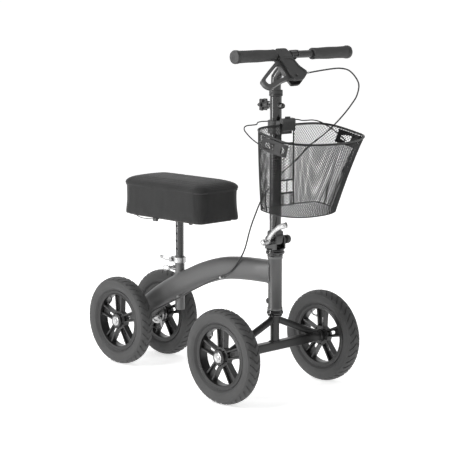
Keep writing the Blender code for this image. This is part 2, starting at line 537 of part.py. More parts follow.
# Brake cable in four lengths, each fixed at both ends.
ROUTE = [ADJUST + EXIT_DIR * 0.0184, (0.0731, -0.408, 1.0477), (0.1262, -0.423, 1.0510),
         (0.1678, -0.430, 1.0395), (0.2120, -0.425, 1.0010), (0.2192, -0.413, 0.9619),
         (0.2120, -0.395, 0.9300), (0.2033, -0.368, 0.8950), (0.1946, -0.333, 0.8588),
         (0.1805, -0.298, 0.8248), (0.1550, -0.265, 0.7920), (0.1140, -0.243, 0.7449),
         (0.0650, -0.226, 0.7050), (0.0306, -0.214, 0.6664), (0.0000, -0.203, 0.6259),
         (-0.0201, -0.188, 0.5646), (-0.0285, -0.177, 0.5230), (-0.0280, -0.153, 0.4580),
         (-0.0310, -0.125, 0.4130), (-0.0325, -0.093, 0.3790), (-0.0330, -0.066, 0.3620),
         (-0.0335, -0.048, 0.3520), (-0.0335, -0.008, 0.3370), (-0.0335, 0.0508, 0.3100),
         (-0.0335, 0.1055, 0.2830), (-0.0335, 0.1700, 0.2490), (-0.0330, 0.2400, 0.2150),
         (-0.0300, 0.3000, 0.1850), (-0.0200, 0.3350, 0.1500), (0.0050, 0.3500, 0.1230),
         (0.0350, 0.3580, 0.1080), (0.0480, 0.3600, 0.1060)]
fine = smooth_path(ROUTE, 3)
for name, first, final in (("cable_bar", 0, 36), ("cable_tiller", 36, 48), ("cable_steer", 48, 63),
                           ("cable_frame", 63, None)):
    run = fine[first:] if final is None else fine[first:final + 1]
    end = run[-1] - (run[-1] - run[-2]).normalized() * (GAP if final is not None else 0.0)
    sweep(name, "black_plastic", run[:-1] + [end], ring_points(0.0025, 0.0025, 6), (0.3, 0.2, 1))

# Rear brake on the left wheel's hub.
DRUM_X = 0.0640
lathe("brake_drum", "steel", [(0.0075, 0.0813), (0.0330, 0.0813), (0.0330, 0.0660), (0.0300, 0.0660),
                              (0.0300, 0.0785), (0.0075, 0.0785)], (1, 0, 0), (0, REAR_Y, AXLE_Z), 22)
cover = lathe("brake_cover", "steel", [(0.0066, 0.0610), (0.0340, 0.0610), (0.0370, 0.0635),
                                       (0.0370, 0.0790), (0.0345, 0.0790), (0.0345, 0.0635),
                                       (0.0066, 0.0635)], (1, 0, 0), (0, REAR_Y, AXLE_Z), 22)
ARM_PIVOT = Vector((0, REAR_Y - 0.026, AXLE_Z - 0.010))
boolean(cover, [rod("cut", "steel", 0.0033, ARM_PIVOT + Vector((0.05, 0, 0)),
                    ARM_PIVOT + Vector((0.07, 0, 0)), 14)], "DIFFERENCE")
arm = prism("brake_arm", "steel", [(-0.006, 0.006), (-0.006, -0.004), (-0.0045, -0.034), (0.0045, -0.034),
                                   (0.006, -0.004), (0.006, 0.006)], 0.0012,
            (0.0585, ARM_PIVOT.y, ARM_PIVOT.z), (0, 1, 0), (0, 0.25, 1))
boolean(arm, [rod("stud", "steel", 0.0030, (0.0565, ARM_PIVOT.y, ARM_PIVOT.z),
                  (0.0655, ARM_PIVOT.y, ARM_PIVOT.z), 12)], "UNION")

# Basket: shell, rim wire, clamp on the tiller, saddle over the rim, bail.
RIM = {"half": 0.178, "back": -0.3145, "front": -0.537, "z": 0.8735, "fall": 0.200, "pb": 4.4, "pf": 1.95,
       "split": 0.70}
FLOOR = {"half": 0.134, "back": -0.3145, "front": -0.458, "z": 0.618, "fall": 0.150, "pb": 6.0, "pf": 2.4,
         "split": 0.35}


def basket_ring(level, inset=0.0, count=36):
    """A closed outline at a height from 0 (floor) to 1 (rim)."""
    mixed = {key: FLOOR[key] + (RIM[key] - FLOOR[key]) * level for key in RIM}
    back, front = mixed["back"] - inset, mixed["front"] + inset
    half = mixed["half"] - inset
    middle = back + mixed["split"] * (front - back)
    ring = []
    for k in range(count):
        t = math.tau * (k + 0.5) / count
        c, s = math.cos(t), math.sin(t)
        power, depth = (mixed["pf"], middle - front) if s > 0 else (mixed["pb"], back - middle)
        x = half * math.copysign(abs(c) ** (2 / power), c)
        y = middle - depth * math.copysign(abs(s) ** (2 / power), s)
        ring.append(Vector((x, y, mixed["z"] - mixed["fall"] * (mixed["back"] - y))))
    return ring


def closed_shell(name, kind, rings):
    """Rings joined in turn and capped at both ends."""
    size = len(rings[0])
    points = [p for ring in rings for p in ring]
    skin = [list(range(size)), list(range((len(rings) - 1) * size, len(rings) * size))]
    for k in range(len(rings) - 1):
        for i in range(size):
            j = (i + 1) % size
            skin.append((k * size + i, k * size + j, (k + 1) * size + j, (k + 1) * size + i))
    return build(name, kind, points, skin, 50)


LEVELS = (0.0, 0.35, 0.7, 0.985)
outside = [basket_ring(level) for level in LEVELS]
inside = [basket_ring(level, 0.0022) for level in reversed(LEVELS)]
inside[-1] = [p + Vector((0, 0, 0.0022)) for p in inside[-1]]
closed_shell("basket_shell", "wire", outside + inside)
rim_path = [p + Vector((0, 0, 0.0005)) for p in basket_ring(1.0, 0.0010)]
sweep("basket_rim", "wire", rim_path, ring_points(0.0029, 0.0029, 8), (0, 0, 1), closed=True)
saddle = [(-0.3100, 0.8900), (-0.3100, 0.8560), (-0.3112, 0.8560), (-0.3112, 0.8790), (-0.3200, 0.8790),
          (-0.3200, 0.8540), (-0.3245, 0.8560), (-0.3260, 0.8860), (-0.3235, 0.8935), (-0.3120, 0.8950)]
prism("basket_saddle", "black_plastic", [(y, z) for y, z in saddle], 0.0280, (0, 0, 0), (0, 1, 0),
      (0, 0, 1))
band = tube("basket_clamp", "black_plastic", 0.0260, 0.0195, (0, STEM_Y, 0.8440), (0, STEM_Y, 0.8860), 20)
boolean(band, [box("ear", "black_plastic", (-0.0280, -0.3096, 0.8440), (0.0280, STEM_Y - 0.021, 0.8860))],
        "UNION")
button = box("button", "black_plastic", (-0.0100, -0.3220, 0.8920), (0.0100, -0.3125, 0.9000))
boolean(bpy.data.objects["basket_saddle"], [button], "UNION")
bail_half = [(0.1722, -0.4000, 0.8160), (0.1790, -0.4000, 0.8165), (0.1845, -0.3930, 0.8200),
             (0.1865, -0.3740, 0.8305), (0.1880, -0.3520, 0.8415), (0.1860, -0.3300, 0.8535),
             (0.1790, -0.3060, 0.8665), (0.1660, -0.2920, 0.8745), (0.1480, -0.2850, 0.8780),
             (0.1260, -0.2840, 0.8785), (0.1050, -0.2830, 0.8790), (0.0850, -0.2690, 0.8830),
             (0.0450, -0.2440, 0.8820)]
bail = [(-x, y, z) for x, y, z in bail_half] + [(0, -0.2320, 0.8800)] + bail_half[::-1]
sweep("bail", "wire", smooth_path(bail, 1), ring_points(0.0020, 0.0020, 6), (0, 0.2, 1))

# Each moving piece gets its origin on the axis it turns about or slides along.
STEER_AXIS = (0, STEM_Y, 0.36)
FOLD_AXIS = (0, STEM_Y, FOLD_Z)
AXES.update({"brake_drum": (REAR_X, REAR_Y, AXLE_Z), "brake_arm": (0.0585, ARM_PIVOT.y, ARM_PIVOT.z),
             "brake_lever": pivot, "cam_lever": FOLD_AXIS, "fold_knob": FOLD_AXIS,
             "star_knob": (0, STEM_Y, BOLT_Z), "seat_clamp_lever": CLAMP_BOLT, "pull_pin": pin_root,
             "bail": (0, -0.400, 0.816)})
for name in ("fork_beam", "fork_post", "fork_brace_left", "fork_brace_right", "front_axle", "crown_race",
             "steerer", "fold_base", "fold_skewer", "cable_steer"):
    AXES[name] = STEER_AXIS
for name in ("tiller", "tiller_collar", "fold_foot", "basket_clamp", "cable_tiller"):
    AXES[name] = FOLD_AXIS
for name in ("upper_tube", "handlebar", "grip_left", "grip_right", "brake_housing", "barrel_adjuster",
             "cable_bar"):
    AXES[name] = (0, STEM_Y, 0.930)
for name in ("seat_post", "seat_bracket", "seat_board", "seat_cushion", "drawcord", "cord_lock"):
    AXES[name] = (0, SEAT_Y, 0.400)
for name in ("basket_shell", "basket_rim", "basket_saddle"):
    AXES[name] = (0, -0.303, 0.865)
for name, point in AXES.items():
    obj = bpy.data.objects[name]
    obj.data.transform(Matrix.Translation(-Vector(point)))
    obj.location = point
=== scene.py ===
import math

import bmesh
import bpy
import numpy as np
from mathutils import Matrix, Vector, noise


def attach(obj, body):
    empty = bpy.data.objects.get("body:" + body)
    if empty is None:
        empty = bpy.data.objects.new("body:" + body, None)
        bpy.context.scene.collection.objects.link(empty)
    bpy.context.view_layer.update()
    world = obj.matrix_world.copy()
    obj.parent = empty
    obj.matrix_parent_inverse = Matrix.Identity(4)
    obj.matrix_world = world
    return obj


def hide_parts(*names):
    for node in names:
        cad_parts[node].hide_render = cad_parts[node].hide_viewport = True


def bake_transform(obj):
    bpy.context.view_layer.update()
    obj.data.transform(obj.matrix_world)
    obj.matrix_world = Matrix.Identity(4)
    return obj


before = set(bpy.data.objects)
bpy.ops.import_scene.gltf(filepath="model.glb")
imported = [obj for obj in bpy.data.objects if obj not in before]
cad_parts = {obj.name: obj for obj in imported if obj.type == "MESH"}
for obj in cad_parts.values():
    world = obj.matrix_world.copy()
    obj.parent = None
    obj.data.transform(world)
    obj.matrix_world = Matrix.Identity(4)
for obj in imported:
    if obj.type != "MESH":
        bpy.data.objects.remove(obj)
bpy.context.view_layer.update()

AXLE_Z = 0.1525
FRONT_Y = -0.263
REAR_Y = 0.387
FRONT_X = 0.23
REAR_X = 0.1036
STEM_Y = -0.265
FOLD_Z = 0.497
BOLT_Z = 0.932
BAR_Y = -0.339
BAR_Z = 1.0956
BAR_R = 0.012
SEAT_Y = 0.193
UP = (0, 0, 1)
SIDE = (1, 0, 0)
BACK = (0, 1, 0)


# ---------------------------------------------------------------- materials
def shader_nodes(name):
    mat = bpy.data.materials.new(name)
    mat.use_nodes = True
    tree = mat.node_tree
    return mat, tree, tree.nodes["Principled BSDF"]


def node(tree, kind, **values):
    made = tree.nodes.new(kind)
    for key, value in values.items():
        if key in made.inputs:
            made.inputs[key].default_value = value
        else:
            setattr(made, key, value)
    return made


def object_place(tree, scale=(1, 1, 1)):
    coords = node(tree, "ShaderNodeTexCoord")
    mapping = node(tree, "ShaderNodeMapping")
    mapping.inputs["Scale"].default_value = scale
    tree.links.new(coords.outputs["Object"], mapping.inputs["Vector"])
    return mapping.outputs["Vector"]


def ramp(tree, source, stops):
    made = node(tree, "ShaderNodeValToRGB")
    elements = made.color_ramp.elements
    while len(elements) < len(stops):
        elements.new(0.5)
    for element, (place, colour) in zip(elements, stops):
        element.position = place
        element.color = (*colour, 1.0)
    tree.links.new(source, made.inputs["Fac"])
    return made.outputs["Color"]


def grey(value):
    return (value, value, value)


def surface(name, tone, rough, metal=0.0, grain=900.0, grain_depth=0.00008, patch=14.0, patch_tone=0.15,
        rough_swing=0.08, coat=0.0, sheen=0.0, wear=0.0, wear_tone=0.4, specular=0.5, stretch=(1, 1, 1)):
    """A painted, plated or moulded surface: patchy tone, patchy roughness, fine grain, rubbed edges."""
    mat, tree, out = shader_nodes(name)
    place = object_place(tree, stretch)
    broad = node(tree, "ShaderNodeTexNoise", Scale=patch, Detail=5.0, Roughness=0.6)
    fine = node(tree, "ShaderNodeTexNoise", Scale=grain, Detail=3.0, Roughness=0.6)
    for texture in (broad, fine):
        tree.links.new(place, texture.inputs["Vector"])
    tint = tone if isinstance(tone, tuple) else grey(tone)
    low = tuple(c * (1 - patch_tone) for c in tint)
    high = tuple(min(c * (1 + patch_tone), 1.0) for c in tint)
    colour = ramp(tree, broad.outputs["Fac"], [(0.3, low), (0.7, high)])
    if wear > 0:
        geometry = node(tree, "ShaderNodeNewGeometry")
        edge = ramp(tree, geometry.outputs["Pointiness"], [(0.535, grey(0.0)), (0.6, grey(wear))])
        mix = node(tree, "ShaderNodeMix", data_type="RGBA")
        tree.links.new(edge, mix.inputs[0])
        tree.links.new(colour, mix.inputs[6])
        mix.inputs[7].default_value = (*grey(wear_tone), 1.0)
        colour = mix.outputs[2]
    tree.links.new(colour, out.inputs["Base Color"])
    spread = ramp(tree, broad.outputs["Fac"], [(0.3, grey(max(rough - rough_swing, 0.02))),
        (0.7, grey(min(rough + rough_swing, 1.0)))])
    tree.links.new(spread, out.inputs["Roughness"])
    bump = node(tree, "ShaderNodeBump", Strength=0.5, Distance=grain_depth)
    tree.links.new(fine.outputs["Fac"], bump.inputs["Height"])
    tree.links.new(bump.outputs["Normal"], out.inputs["Normal"])
    out.inputs["Metallic"].default_value = metal
    out.inputs["Specular IOR Level"].default_value = specular
    if coat > 0:
        out.inputs["Coat Weight"].default_value = coat
        out.inputs["Coat Roughness"].default_value = 0.08
    if sheen > 0:
        out.inputs["Sheen Weight"].default_value = sheen
        out.inputs["Sheen Roughness"].default_value = 0.5
    return mat


def woven(name, tone, thread=1500.0, depth=0.0003, rough=0.88):
    """Plain-woven cloth: crossed threads in three planes blended by the way the surface faces."""
    mat, tree, out = shader_nodes(name)
    coords = node(tree, "ShaderNodeTexCoord")
    split = node(tree, "ShaderNodeSeparateXYZ")
    tree.links.new(coords.outputs["Object"], split.inputs[0])
    waves = []
    for axis in ("X", "Y", "Z"):
        times = node(tree, "ShaderNodeMath", operation="MULTIPLY")
        times.inputs[1].default_value = thread
        tree.links.new(split.outputs[axis], times.inputs[0])
        wave = node(tree, "ShaderNodeMath", operation="SINE")
        tree.links.new(times.outputs[0], wave.inputs[0])
        waves.append(wave.outputs[0])
    first = node(tree, "ShaderNodeMath", operation="ADD")
    tree.links.new(waves[0], first.inputs[0])
    tree.links.new(waves[1], first.inputs[1])
    weave = node(tree, "ShaderNodeMath", operation="ADD")
    tree.links.new(first.outputs[0], weave.inputs[0])
    tree.links.new(waves[2], weave.inputs[1])
    broad = node(tree, "ShaderNodeTexNoise", Scale=11.0, Detail=5.0)
    tree.links.new(coords.outputs["Object"], broad.inputs["Vector"])
    colour = ramp(tree, broad.outputs["Fac"], [(0.3, grey(tone * 0.86)), (0.7, grey(tone * 1.14))])
    tree.links.new(colour, out.inputs["Base Color"])
    bump = node(tree, "ShaderNodeBump", Strength=0.45, Distance=depth)
    tree.links.new(weave.outputs[0], bump.inputs["Height"])
    soft = node(tree, "ShaderNodeTexNoise", Scale=60.0, Detail=3.0)
    tree.links.new(coords.outputs["Object"], soft.inputs["Vector"])
    fold = node(tree, "ShaderNodeBump", Strength=0.35, Distance=0.0008)
    tree.links.new(soft.outputs["Fac"], fold.inputs["Height"])
    tree.links.new(bump.outputs["Normal"], fold.inputs["Normal"])
    tree.links.new(fold.outputs["Normal"], out.inputs["Normal"])
    out.inputs["Roughness"].default_value = rough
    out.inputs["Sheen Weight"].default_value = 0.12
    out.inputs["Sheen Roughness"].default_value = 0.45
    return mat


def plywood(name):
    mat, tree, out = shader_nodes(name)
    place = object_place(tree, (3.0, 0.35, 3.0))
    grain = node(tree, "ShaderNodeTexWave", Scale=14.0, Distortion=5.0, Detail=3.0)
    tree.links.new(place, grain.inputs["Vector"])
    colour = ramp(tree, grain.outputs["Color"], [(0.0, (0.03, 0.026, 0.022)), (1.0, (0.055, 0.048, 0.04))])
    tree.links.new(colour, out.inputs["Base Color"])
    out.inputs["Roughness"].default_value = 0.7
    return mat


FRAME_GREY = surface("powder_coat_grey", 0.1, 0.42, metal=0.35, grain=1600, grain_depth=0.00006, patch=9,
    patch_tone=0.07, wear=0.35, wear_tone=0.3)
GLOSS = surface("gloss_black_tube", 0.012, 0.18, metal=0.15, grain=700, grain_depth=0.00002, patch=20,
    patch_tone=0.2, rough_swing=0.05, coat=0.6)
SATIN = surface("satin_black_paint", 0.016, 0.34, metal=0.25, grain=1500, grain_depth=0.00005, patch=10,
    patch_tone=0.08, wear=0.35, wear_tone=0.12)
PLASTIC = surface("moulded_plastic", 0.024, 0.42, grain=2200, grain_depth=0.00008, patch=25,
    patch_tone=0.12, wear=0.4, wear_tone=0.11)
PLASTIC_SOFT = surface("lever_plastic", 0.06, 0.42, grain=2200, grain_depth=0.00006, patch=25,
    patch_tone=0.1, wear=0.4, wear_tone=0.14)
RIM_BLACK = surface("rim_satin_black", 0.012, 0.34, grain=1300, grain_depth=0.00006, patch=30,
    patch_tone=0.15, wear=0.35, wear_tone=0.1)
RUBBER = surface("tyre_rubber", 0.058, 0.6, grain=1500, grain_depth=0.00012, patch=22, patch_tone=0.14,
    specular=0.35, wear=0.3, wear_tone=0.13)
FOAM = surface("grip_foam", 0.074, 0.85, grain=1100, grain_depth=0.00035, patch=30, patch_tone=0.12,
    specular=0.3)
STEEL = surface("zinc_steel", 0.46, 0.3, metal=1.0, grain=900, grain_depth=0.00004, patch=45,
    patch_tone=0.12, rough_swing=0.09)
WIRE = surface("wire_coating", 0.011, 0.45, metal=0.1, grain=1800, grain_depth=0.00004, patch=40,
    patch_tone=0.12)
CABLE = surface("cable_sheath", 0.022, 0.4, grain=1200, grain_depth=0.00005, patch=40, patch_tone=0.12)
CLOTH = woven("cover_cloth", 0.014)
CORD = woven("cord_braid", 0.05, thread=3800.0, depth=0.0003)
WOOD = plywood("plywood")


# ---------------------------------------------------------------- mesh helpers
def piece(name, verts, faces, mat, body, stands_for=(), smooth=35.0, bevel=0.0, segments=2, subdivide=0):
    mesh = bpy.data.meshes.new(name)
    mesh.from_pydata([tuple(v) for v in verts], [], [tuple(f) for f in faces])
    work = bmesh.new()
    work.from_mesh(mesh)
    bmesh.ops.remove_doubles(work, verts=work.verts, dist=1e-6)
    bmesh.ops.recalc_face_normals(work, faces=work.faces)
    work.to_mesh(mesh)
    work.free()
    obj = bpy.data.objects.new(name, mesh)
    bpy.context.scene.collection.objects.link(obj)
    mesh.materials.append(mat)
    finish_piece(obj, body, stands_for, smooth, bevel, segments, subdivide)
    return obj


def finish_piece(obj, body, stands_for=(), smooth=35.0, bevel=0.0, segments=2, subdivide=0):
    for face in obj.data.polygons:
        face.use_smooth = True
    obj.data.set_sharp_from_angle(angle=math.radians(smooth))
    if bevel > 0:
        mod = obj.modifiers.new("edges", "BEVEL")
        mod.width = bevel
        mod.segments = segments
        mod.limit_method = "ANGLE"
        mod.angle_limit = math.radians(30)
        mod.harden_normals = True
    if subdivide > 0:
        mod = obj.modifiers.new("smooth", "SUBSURF")
        mod.levels = mod.render_levels = subdivide
    if body:
        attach(obj, body)
    if stands_for:
        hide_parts(*stands_for)


def soften(obj, width, segments, angle):
    """Round the edges that are sharper than an angle in degrees."""
    mod = obj.modifiers.new("edges", "BEVEL")
    mod.width, mod.segments = width, segments
    mod.limit_method, mod.angle_limit = "ANGLE", math.radians(angle)


def turn_to(axis):
    return Vector((0, 0, 1)).rotation_difference(Vector(axis).normalized()).to_matrix()


def lathe_data(outline, axis, centre, steps):
    turn, centre = turn_to(axis), Vector(centre)
    verts, rings, faces = [], [], []
    for radius, height in outline:
        if radius < 1e-7:
            rings.append([len(verts)] * steps)
            verts.append(centre + turn @ Vector((0, 0, height)))
            continue
        rings.append(list(range(len(verts), len(verts) + steps)))
        for i in range(steps):
            a = math.tau * i / steps
            verts.append(centre + turn @ Vector((radius * math.cos(a), radius * math.sin(a), height)))
    for k in range(len(outline)):
        low, high = rings[k], rings[(k + 1) % len(outline)]
        for i in range(steps):
            j = (i + 1) % steps
            face = []
            for v in (low[i], low[j], high[j], high[i]):
                if v not in face:
                    face.append(v)
            if len(face) > 2:
                faces.append(face)
    return verts, faces


def lathe(name, outline, axis, centre, mat, body, stands_for=(), steps=64, **options):
    verts, faces = lathe_data(outline, axis, centre, steps)
    return piece(name, verts, faces, mat, body, stands_for, **options)


def tube(name, outer, inner, start, end, mat, body, stands_for=(), steps=64, edge=0.0006, **options):
    start, end = Vector(start), Vector(end)
    h = (end - start).length
    outline = [(inner, 0.0), (outer - edge, 0.0), (outer, edge), (outer, h - edge), (outer - edge, h),
        (inner, h)]
    return lathe(name, outline, end - start, start, mat, body, stands_for, steps, **options)


def rod_outline(radius, start, end, edge):
    return [(0, start), (radius - edge, start), (radius, start + edge), (radius, end - edge),
        (radius - edge, end), (0, end)]


def sweep_data(path, section, side, closed=False, scales=None):
    """Carry a closed section along a path; scales, if given, stretch the section at each point."""
    path = [Vector(p) for p in path]
    side = Vector(side).normalized()
    verts, faces = [], []
    count = len(path)
    for k, point in enumerate(path):
        if closed:
            ahead, behind = path[(k + 1) % count], path[k - 1]
        else:
            ahead, behind = path[min(k + 1, count - 1)], path[max(k - 1, 0)]
        along = (ahead - behind).normalized()
        first = (side - along * side.dot(along)).normalized()
        second = along.cross(first)
        sa, sb = scales[k] if scales else (1, 1)
        verts.extend(point + first * (a * sa) + second * (b * sb) for a, b in section)
    size = len(section)
    for k in range(count if closed else count - 1):
        here, there = k * size, ((k + 1) % count) * size
        for i in range(size):
            j = (i + 1) % size
            faces.append((here + i, here + j, there + j, there + i))
    if not closed:
        faces.append(list(range(size))[::-1])
        faces.append([(count - 1) * size + i for i in range(size)])
    return verts, faces


def sweep(name, path, section, side, mat, body, stands_for=(), closed=False, scales=None, **options):
    verts, faces = sweep_data(path, section, side, closed, scales)
    return piece(name, verts, faces, mat, body, stands_for, **options)


def prism_data(outline, half, origin, side, up):
    side, up, origin = Vector(side).normalized(), Vector(up).normalized(), Vector(origin)
    normal = side.cross(up)
    count = len(outline)
    verts = [origin + side * a + up * b + normal * s for s in (-half, half) for a, b in outline]
    faces = [list(range(count))[::-1], list(range(count, 2 * count))]
    for i in range(count):
        j = (i + 1) % count
        faces.append((i, j, count + j, count + i))
    return verts, faces


def prism(name, outline, half, origin, side, up, mat, body, stands_for=(), **options):
    verts, faces = prism_data(outline, half, origin, side, up)
    return piece(name, verts, faces, mat, body, stands_for, **options)


def oval(a, b, count, power=2.0):
    points = []
    for i in range(count):
        t = math.tau * (i + 0.5) / count
        c, s = math.cos(t), math.sin(t)
        points.append((a * math.copysign(abs(c) ** (2 / power), c),
            b * math.copysign(abs(s) ** (2 / power), s)))
    return points


def smooth_path(points, per_leg=6, closed=False):
    """Catmull-Rom curve through the given points."""
    points = [Vector(p) for p in points]
    count = len(points)
    path = []
    for k in range(count if closed else count - 1):
        if closed:
            p0, p1, p2, p3 = (points[(k + d) % count] for d in (-1, 0, 1, 2))
        else:
            p0, p1 = points[max(k - 1, 0)], points[k]
            p2, p3 = points[k + 1], points[min(k + 2, count - 1)]
        for i in range(per_leg):
            t = i / per_leg
            square = 2 * p0 - 5 * p1 + 4 * p2 - p3
            cube = 3 * p1 - p0 - 3 * p2 + p3
            path.append(0.5 * ((2 * p1) + (p2 - p0) * t + square * t * t + cube * t ** 3))
    if not closed:
        path.append(points[-1])
    return path


def rounded(points, times=3, share=0.25):
    """Cut the corners of a closed outline again and again."""
    for _ in range(times):
        cut = []
        for i, p in enumerate(points):
            q = points[(i + 1) % len(points)]
            cut.append(tuple(a + (b - a) * share for a, b in zip(p, q)))
            cut.append(tuple(a + (b - a) * (1 - share) for a, b in zip(p, q)))
        points = cut
    return points


def subtract(obj, cutters, operation="DIFFERENCE"):
    """Cut loose shapes, each given as (verts, faces), out of a piece, or weld them to it."""
    for verts, faces in cutters:
        mesh = bpy.data.meshes.new("cutter")
        mesh.from_pydata([tuple(v) for v in verts], [], [tuple(f) for f in faces])
        work = bmesh.new()
        work.from_mesh(mesh)
        bmesh.ops.remove_doubles(work, verts=work.verts, dist=1e-6)
        bmesh.ops.recalc_face_normals(work, faces=work.faces)
        work.to_mesh(mesh)
        work.free()
        cutter = bpy.data.objects.new("cutter", mesh)
        bpy.context.scene.collection.objects.link(cutter)
        mod = obj.modifiers.new("cut", "BOOLEAN")
        mod.operation, mod.solver, mod.object = operation, "EXACT", cutter
        while obj.modifiers[0] != mod and obj.modifiers.find(mod.name) > 0:
            obj.modifiers.move(obj.modifiers.find(mod.name), 0)
        kept = [m for m in obj.modifiers if m != mod]
        shown = [m.show_viewport for m in kept]
        for m in kept:
            m.show_viewport = False
        bpy.context.view_layer.update()
        graph = bpy.context.evaluated_depsgraph_get()
        result = bpy.data.meshes.new_from_object(obj.evaluated_get(graph))
        result.name = obj.name
        obj.modifiers.remove(mod)
        for m, state in zip(kept, shown):
            m.show_viewport = state
        obj.data = result
        bpy.data.objects.remove(cutter, do_unlink=True)
    while len(obj.data.materials) > 1:
        obj.data.materials.pop(index=1)
    for face in obj.data.polygons:
        face.material_index = 0
        face.use_smooth = True
    obj.data.set_sharp_from_angle(angle=math.radians(35))
    return obj


def rectangle(a0, b0, a1, b1):
    return [(a0, b0), (a1, b0), (a1, b1), (a0, b1)]


def hex_outline(radius, count=6, turn=0.0):
    return [(radius * math.cos(math.tau * (k + turn) / count),
        radius * math.sin(math.tau * (k + turn) / count)) for k in range(count)]


def hex_nut(centre, axis, across, height):
    """A six-sided nut with chamfered corners as (verts, faces); it stands on its centre."""
    turn, centre = turn_to(axis), Vector(centre)
    radius = across / math.sqrt(3)
    verts = []
    levels = [(0.0, 0.9), (height * 0.12, 1.0), (height * 0.85, 1.0), (height, 0.88)]
    for level, scale in levels:
        for a, b in hex_outline(radius * scale):
            verts.append(centre + turn @ Vector((a, b, level)))
    faces = [list(range(6))[::-1], list(range(18, 24))]
    for k in range(3):
        for i in range(6):
            j = (i + 1) % 6
            faces.append((k * 6 + i, k * 6 + j, k * 6 + 6 + j, k * 6 + 6 + i))
    return verts, faces


# ---------------------------------------------------------------- wheels
TREAD_PITCHES = 38
TREAD_PHASES = ((0.0, 0.0), (0.04, 1.0), (0.17, 1.0), (0.21, 0.0), (0.41, 0.0), (0.61, 0.0), (0.81, 0.0))
GROOVE = 0.0026
TREAD_LEAN = 0.95
SECTION_R = 0.127


def tyre_mesh():
    """A hollow tyre about the X axis: bead, ribbed sidewalls and a tread of leaning grooves cut into it."""
    half = [(0.1006, 0.0149), (0.103, 0.0152), (0.106, 0.0152), (0.1085, 0.018), (0.112, 0.0212),
        (0.1165, 0.0243), (0.1225, 0.0263), (0.13, 0.0267), (0.1375, 0.0256), (0.1435, 0.0228),
        (0.1478, 0.0186), (0.1506, 0.0128), (0.152, 0.0066), (0.1525, 0.0)]
    curve = smooth_path([(r, h, 0) for r, h in half], 3)
    rows = [(p.x, p.y) for p in curve]
    ribs = {0.1125: 0.0013, 0.1395: 0.001}
    shaped = []
    for r, h in rows:
        lift = sum(height * math.exp(-((r - place) / 0.0012) ** 2) for place, height in ribs.items())
        shaped.append((r, h + lift))
    full = shaped + [(r, -h) for r, h in shaped[-2::-1]]
    full += [(0.1006, -0.011), (0.106, -0.011), (0.122, -0.0222), (0.138, -0.0212), (0.1465, -0.012),
        (0.1485, 0.0), (0.1465, 0.012), (0.138, 0.0212), (0.122, 0.0222), (0.106, 0.011), (0.1006, 0.011)]
    outer_count = 2 * len(shaped) - 1
    verts, faces = [], []
    for pitch in range(TREAD_PITCHES):
        for phase, depth in TREAD_PHASES:
            for k, (r, h) in enumerate(full):
                lean, sink = 0.0, 0.0
                if k < outer_count:
                    wide = abs(h)
                    lean = TREAD_LEAN * min(wide / 0.022, 1.15)
                    edge = min(max((0.0225 - wide) / 0.0012, 0.0), 1.0)
                    centre = min(max((wide - 0.0008) / 0.001, 0.0), 1.0)
                    top = 1.0 if r > 0.14 else 0.0
                    sink = GROOVE * depth * edge * centre * top
                angle = math.tau * (pitch + phase + lean) / TREAD_PITCHES
                inward = Vector((SECTION_R - r, -h, 0))
                if sink > 0:
                    inward.normalize()
                    r, h = r + inward.x * sink, h + inward.y * sink
                verts.append((h, r * math.cos(angle), r * math.sin(angle)))
    size, columns = len(full), TREAD_PITCHES * len(TREAD_PHASES)
    for c in range(columns):
        here, there = c * size, ((c + 1) % columns) * size
        for k in range(size):
            j = (k + 1) % size
            faces.append((here + k, here + j, there + j, there + k))
    return verts, faces


SPOKES = 5


def spoke_data(turn, sign):
    """A double-ribbed spoke with a web between the ribs; the open side faces outwards."""
    channel = [(-0.019, -0.0105), (-0.0175, -0.0112), (-0.0135, -0.0112), (-0.0122, -0.0102),
        (-0.0122, -0.0022), (-0.011, -0.001), (0.011, -0.001), (0.0122, -0.0022), (0.0122, -0.0102),
        (0.0135, -0.0112), (0.0175, -0.0112), (0.019, -0.0105), (0.019, 0.0098), (0.0178, 0.011),
        (0.0135, 0.011), (0.0122, 0.0098), (0.0122, 0.004), (0.0108, 0.0028), (-0.0108, 0.0028),
        (-0.0122, 0.004), (-0.0122, 0.0098), (-0.0135, 0.011), (-0.0178, 0.011), (-0.019, 0.0098)]
    out = Vector((0, math.sin(turn), math.cos(turn)))
    across = Vector((0, out.z, -out.y))
    verts = []
    stations = ((0.019, 0.7), (0.033, 0.74), (0.055, 0.8), (0.078, 0.92), (0.088, 1.0), (0.0928, 1.1))
    for r, wide in stations:
        for u, h in channel:
            verts.append(out * r + across * (u * wide) + Vector((h * sign, 0, 0)))
    size = len(channel)
    faces = [list(range(size)), [(len(stations) - 1) * size + i for i in range(size)]]
    for k in range(len(stations) - 1):
        for i in range(size):
            j = (i + 1) % size
            faces.append((k * size + i, k * size + j, (k + 1) * size + j, (k + 1) * size + i))
    return verts, faces


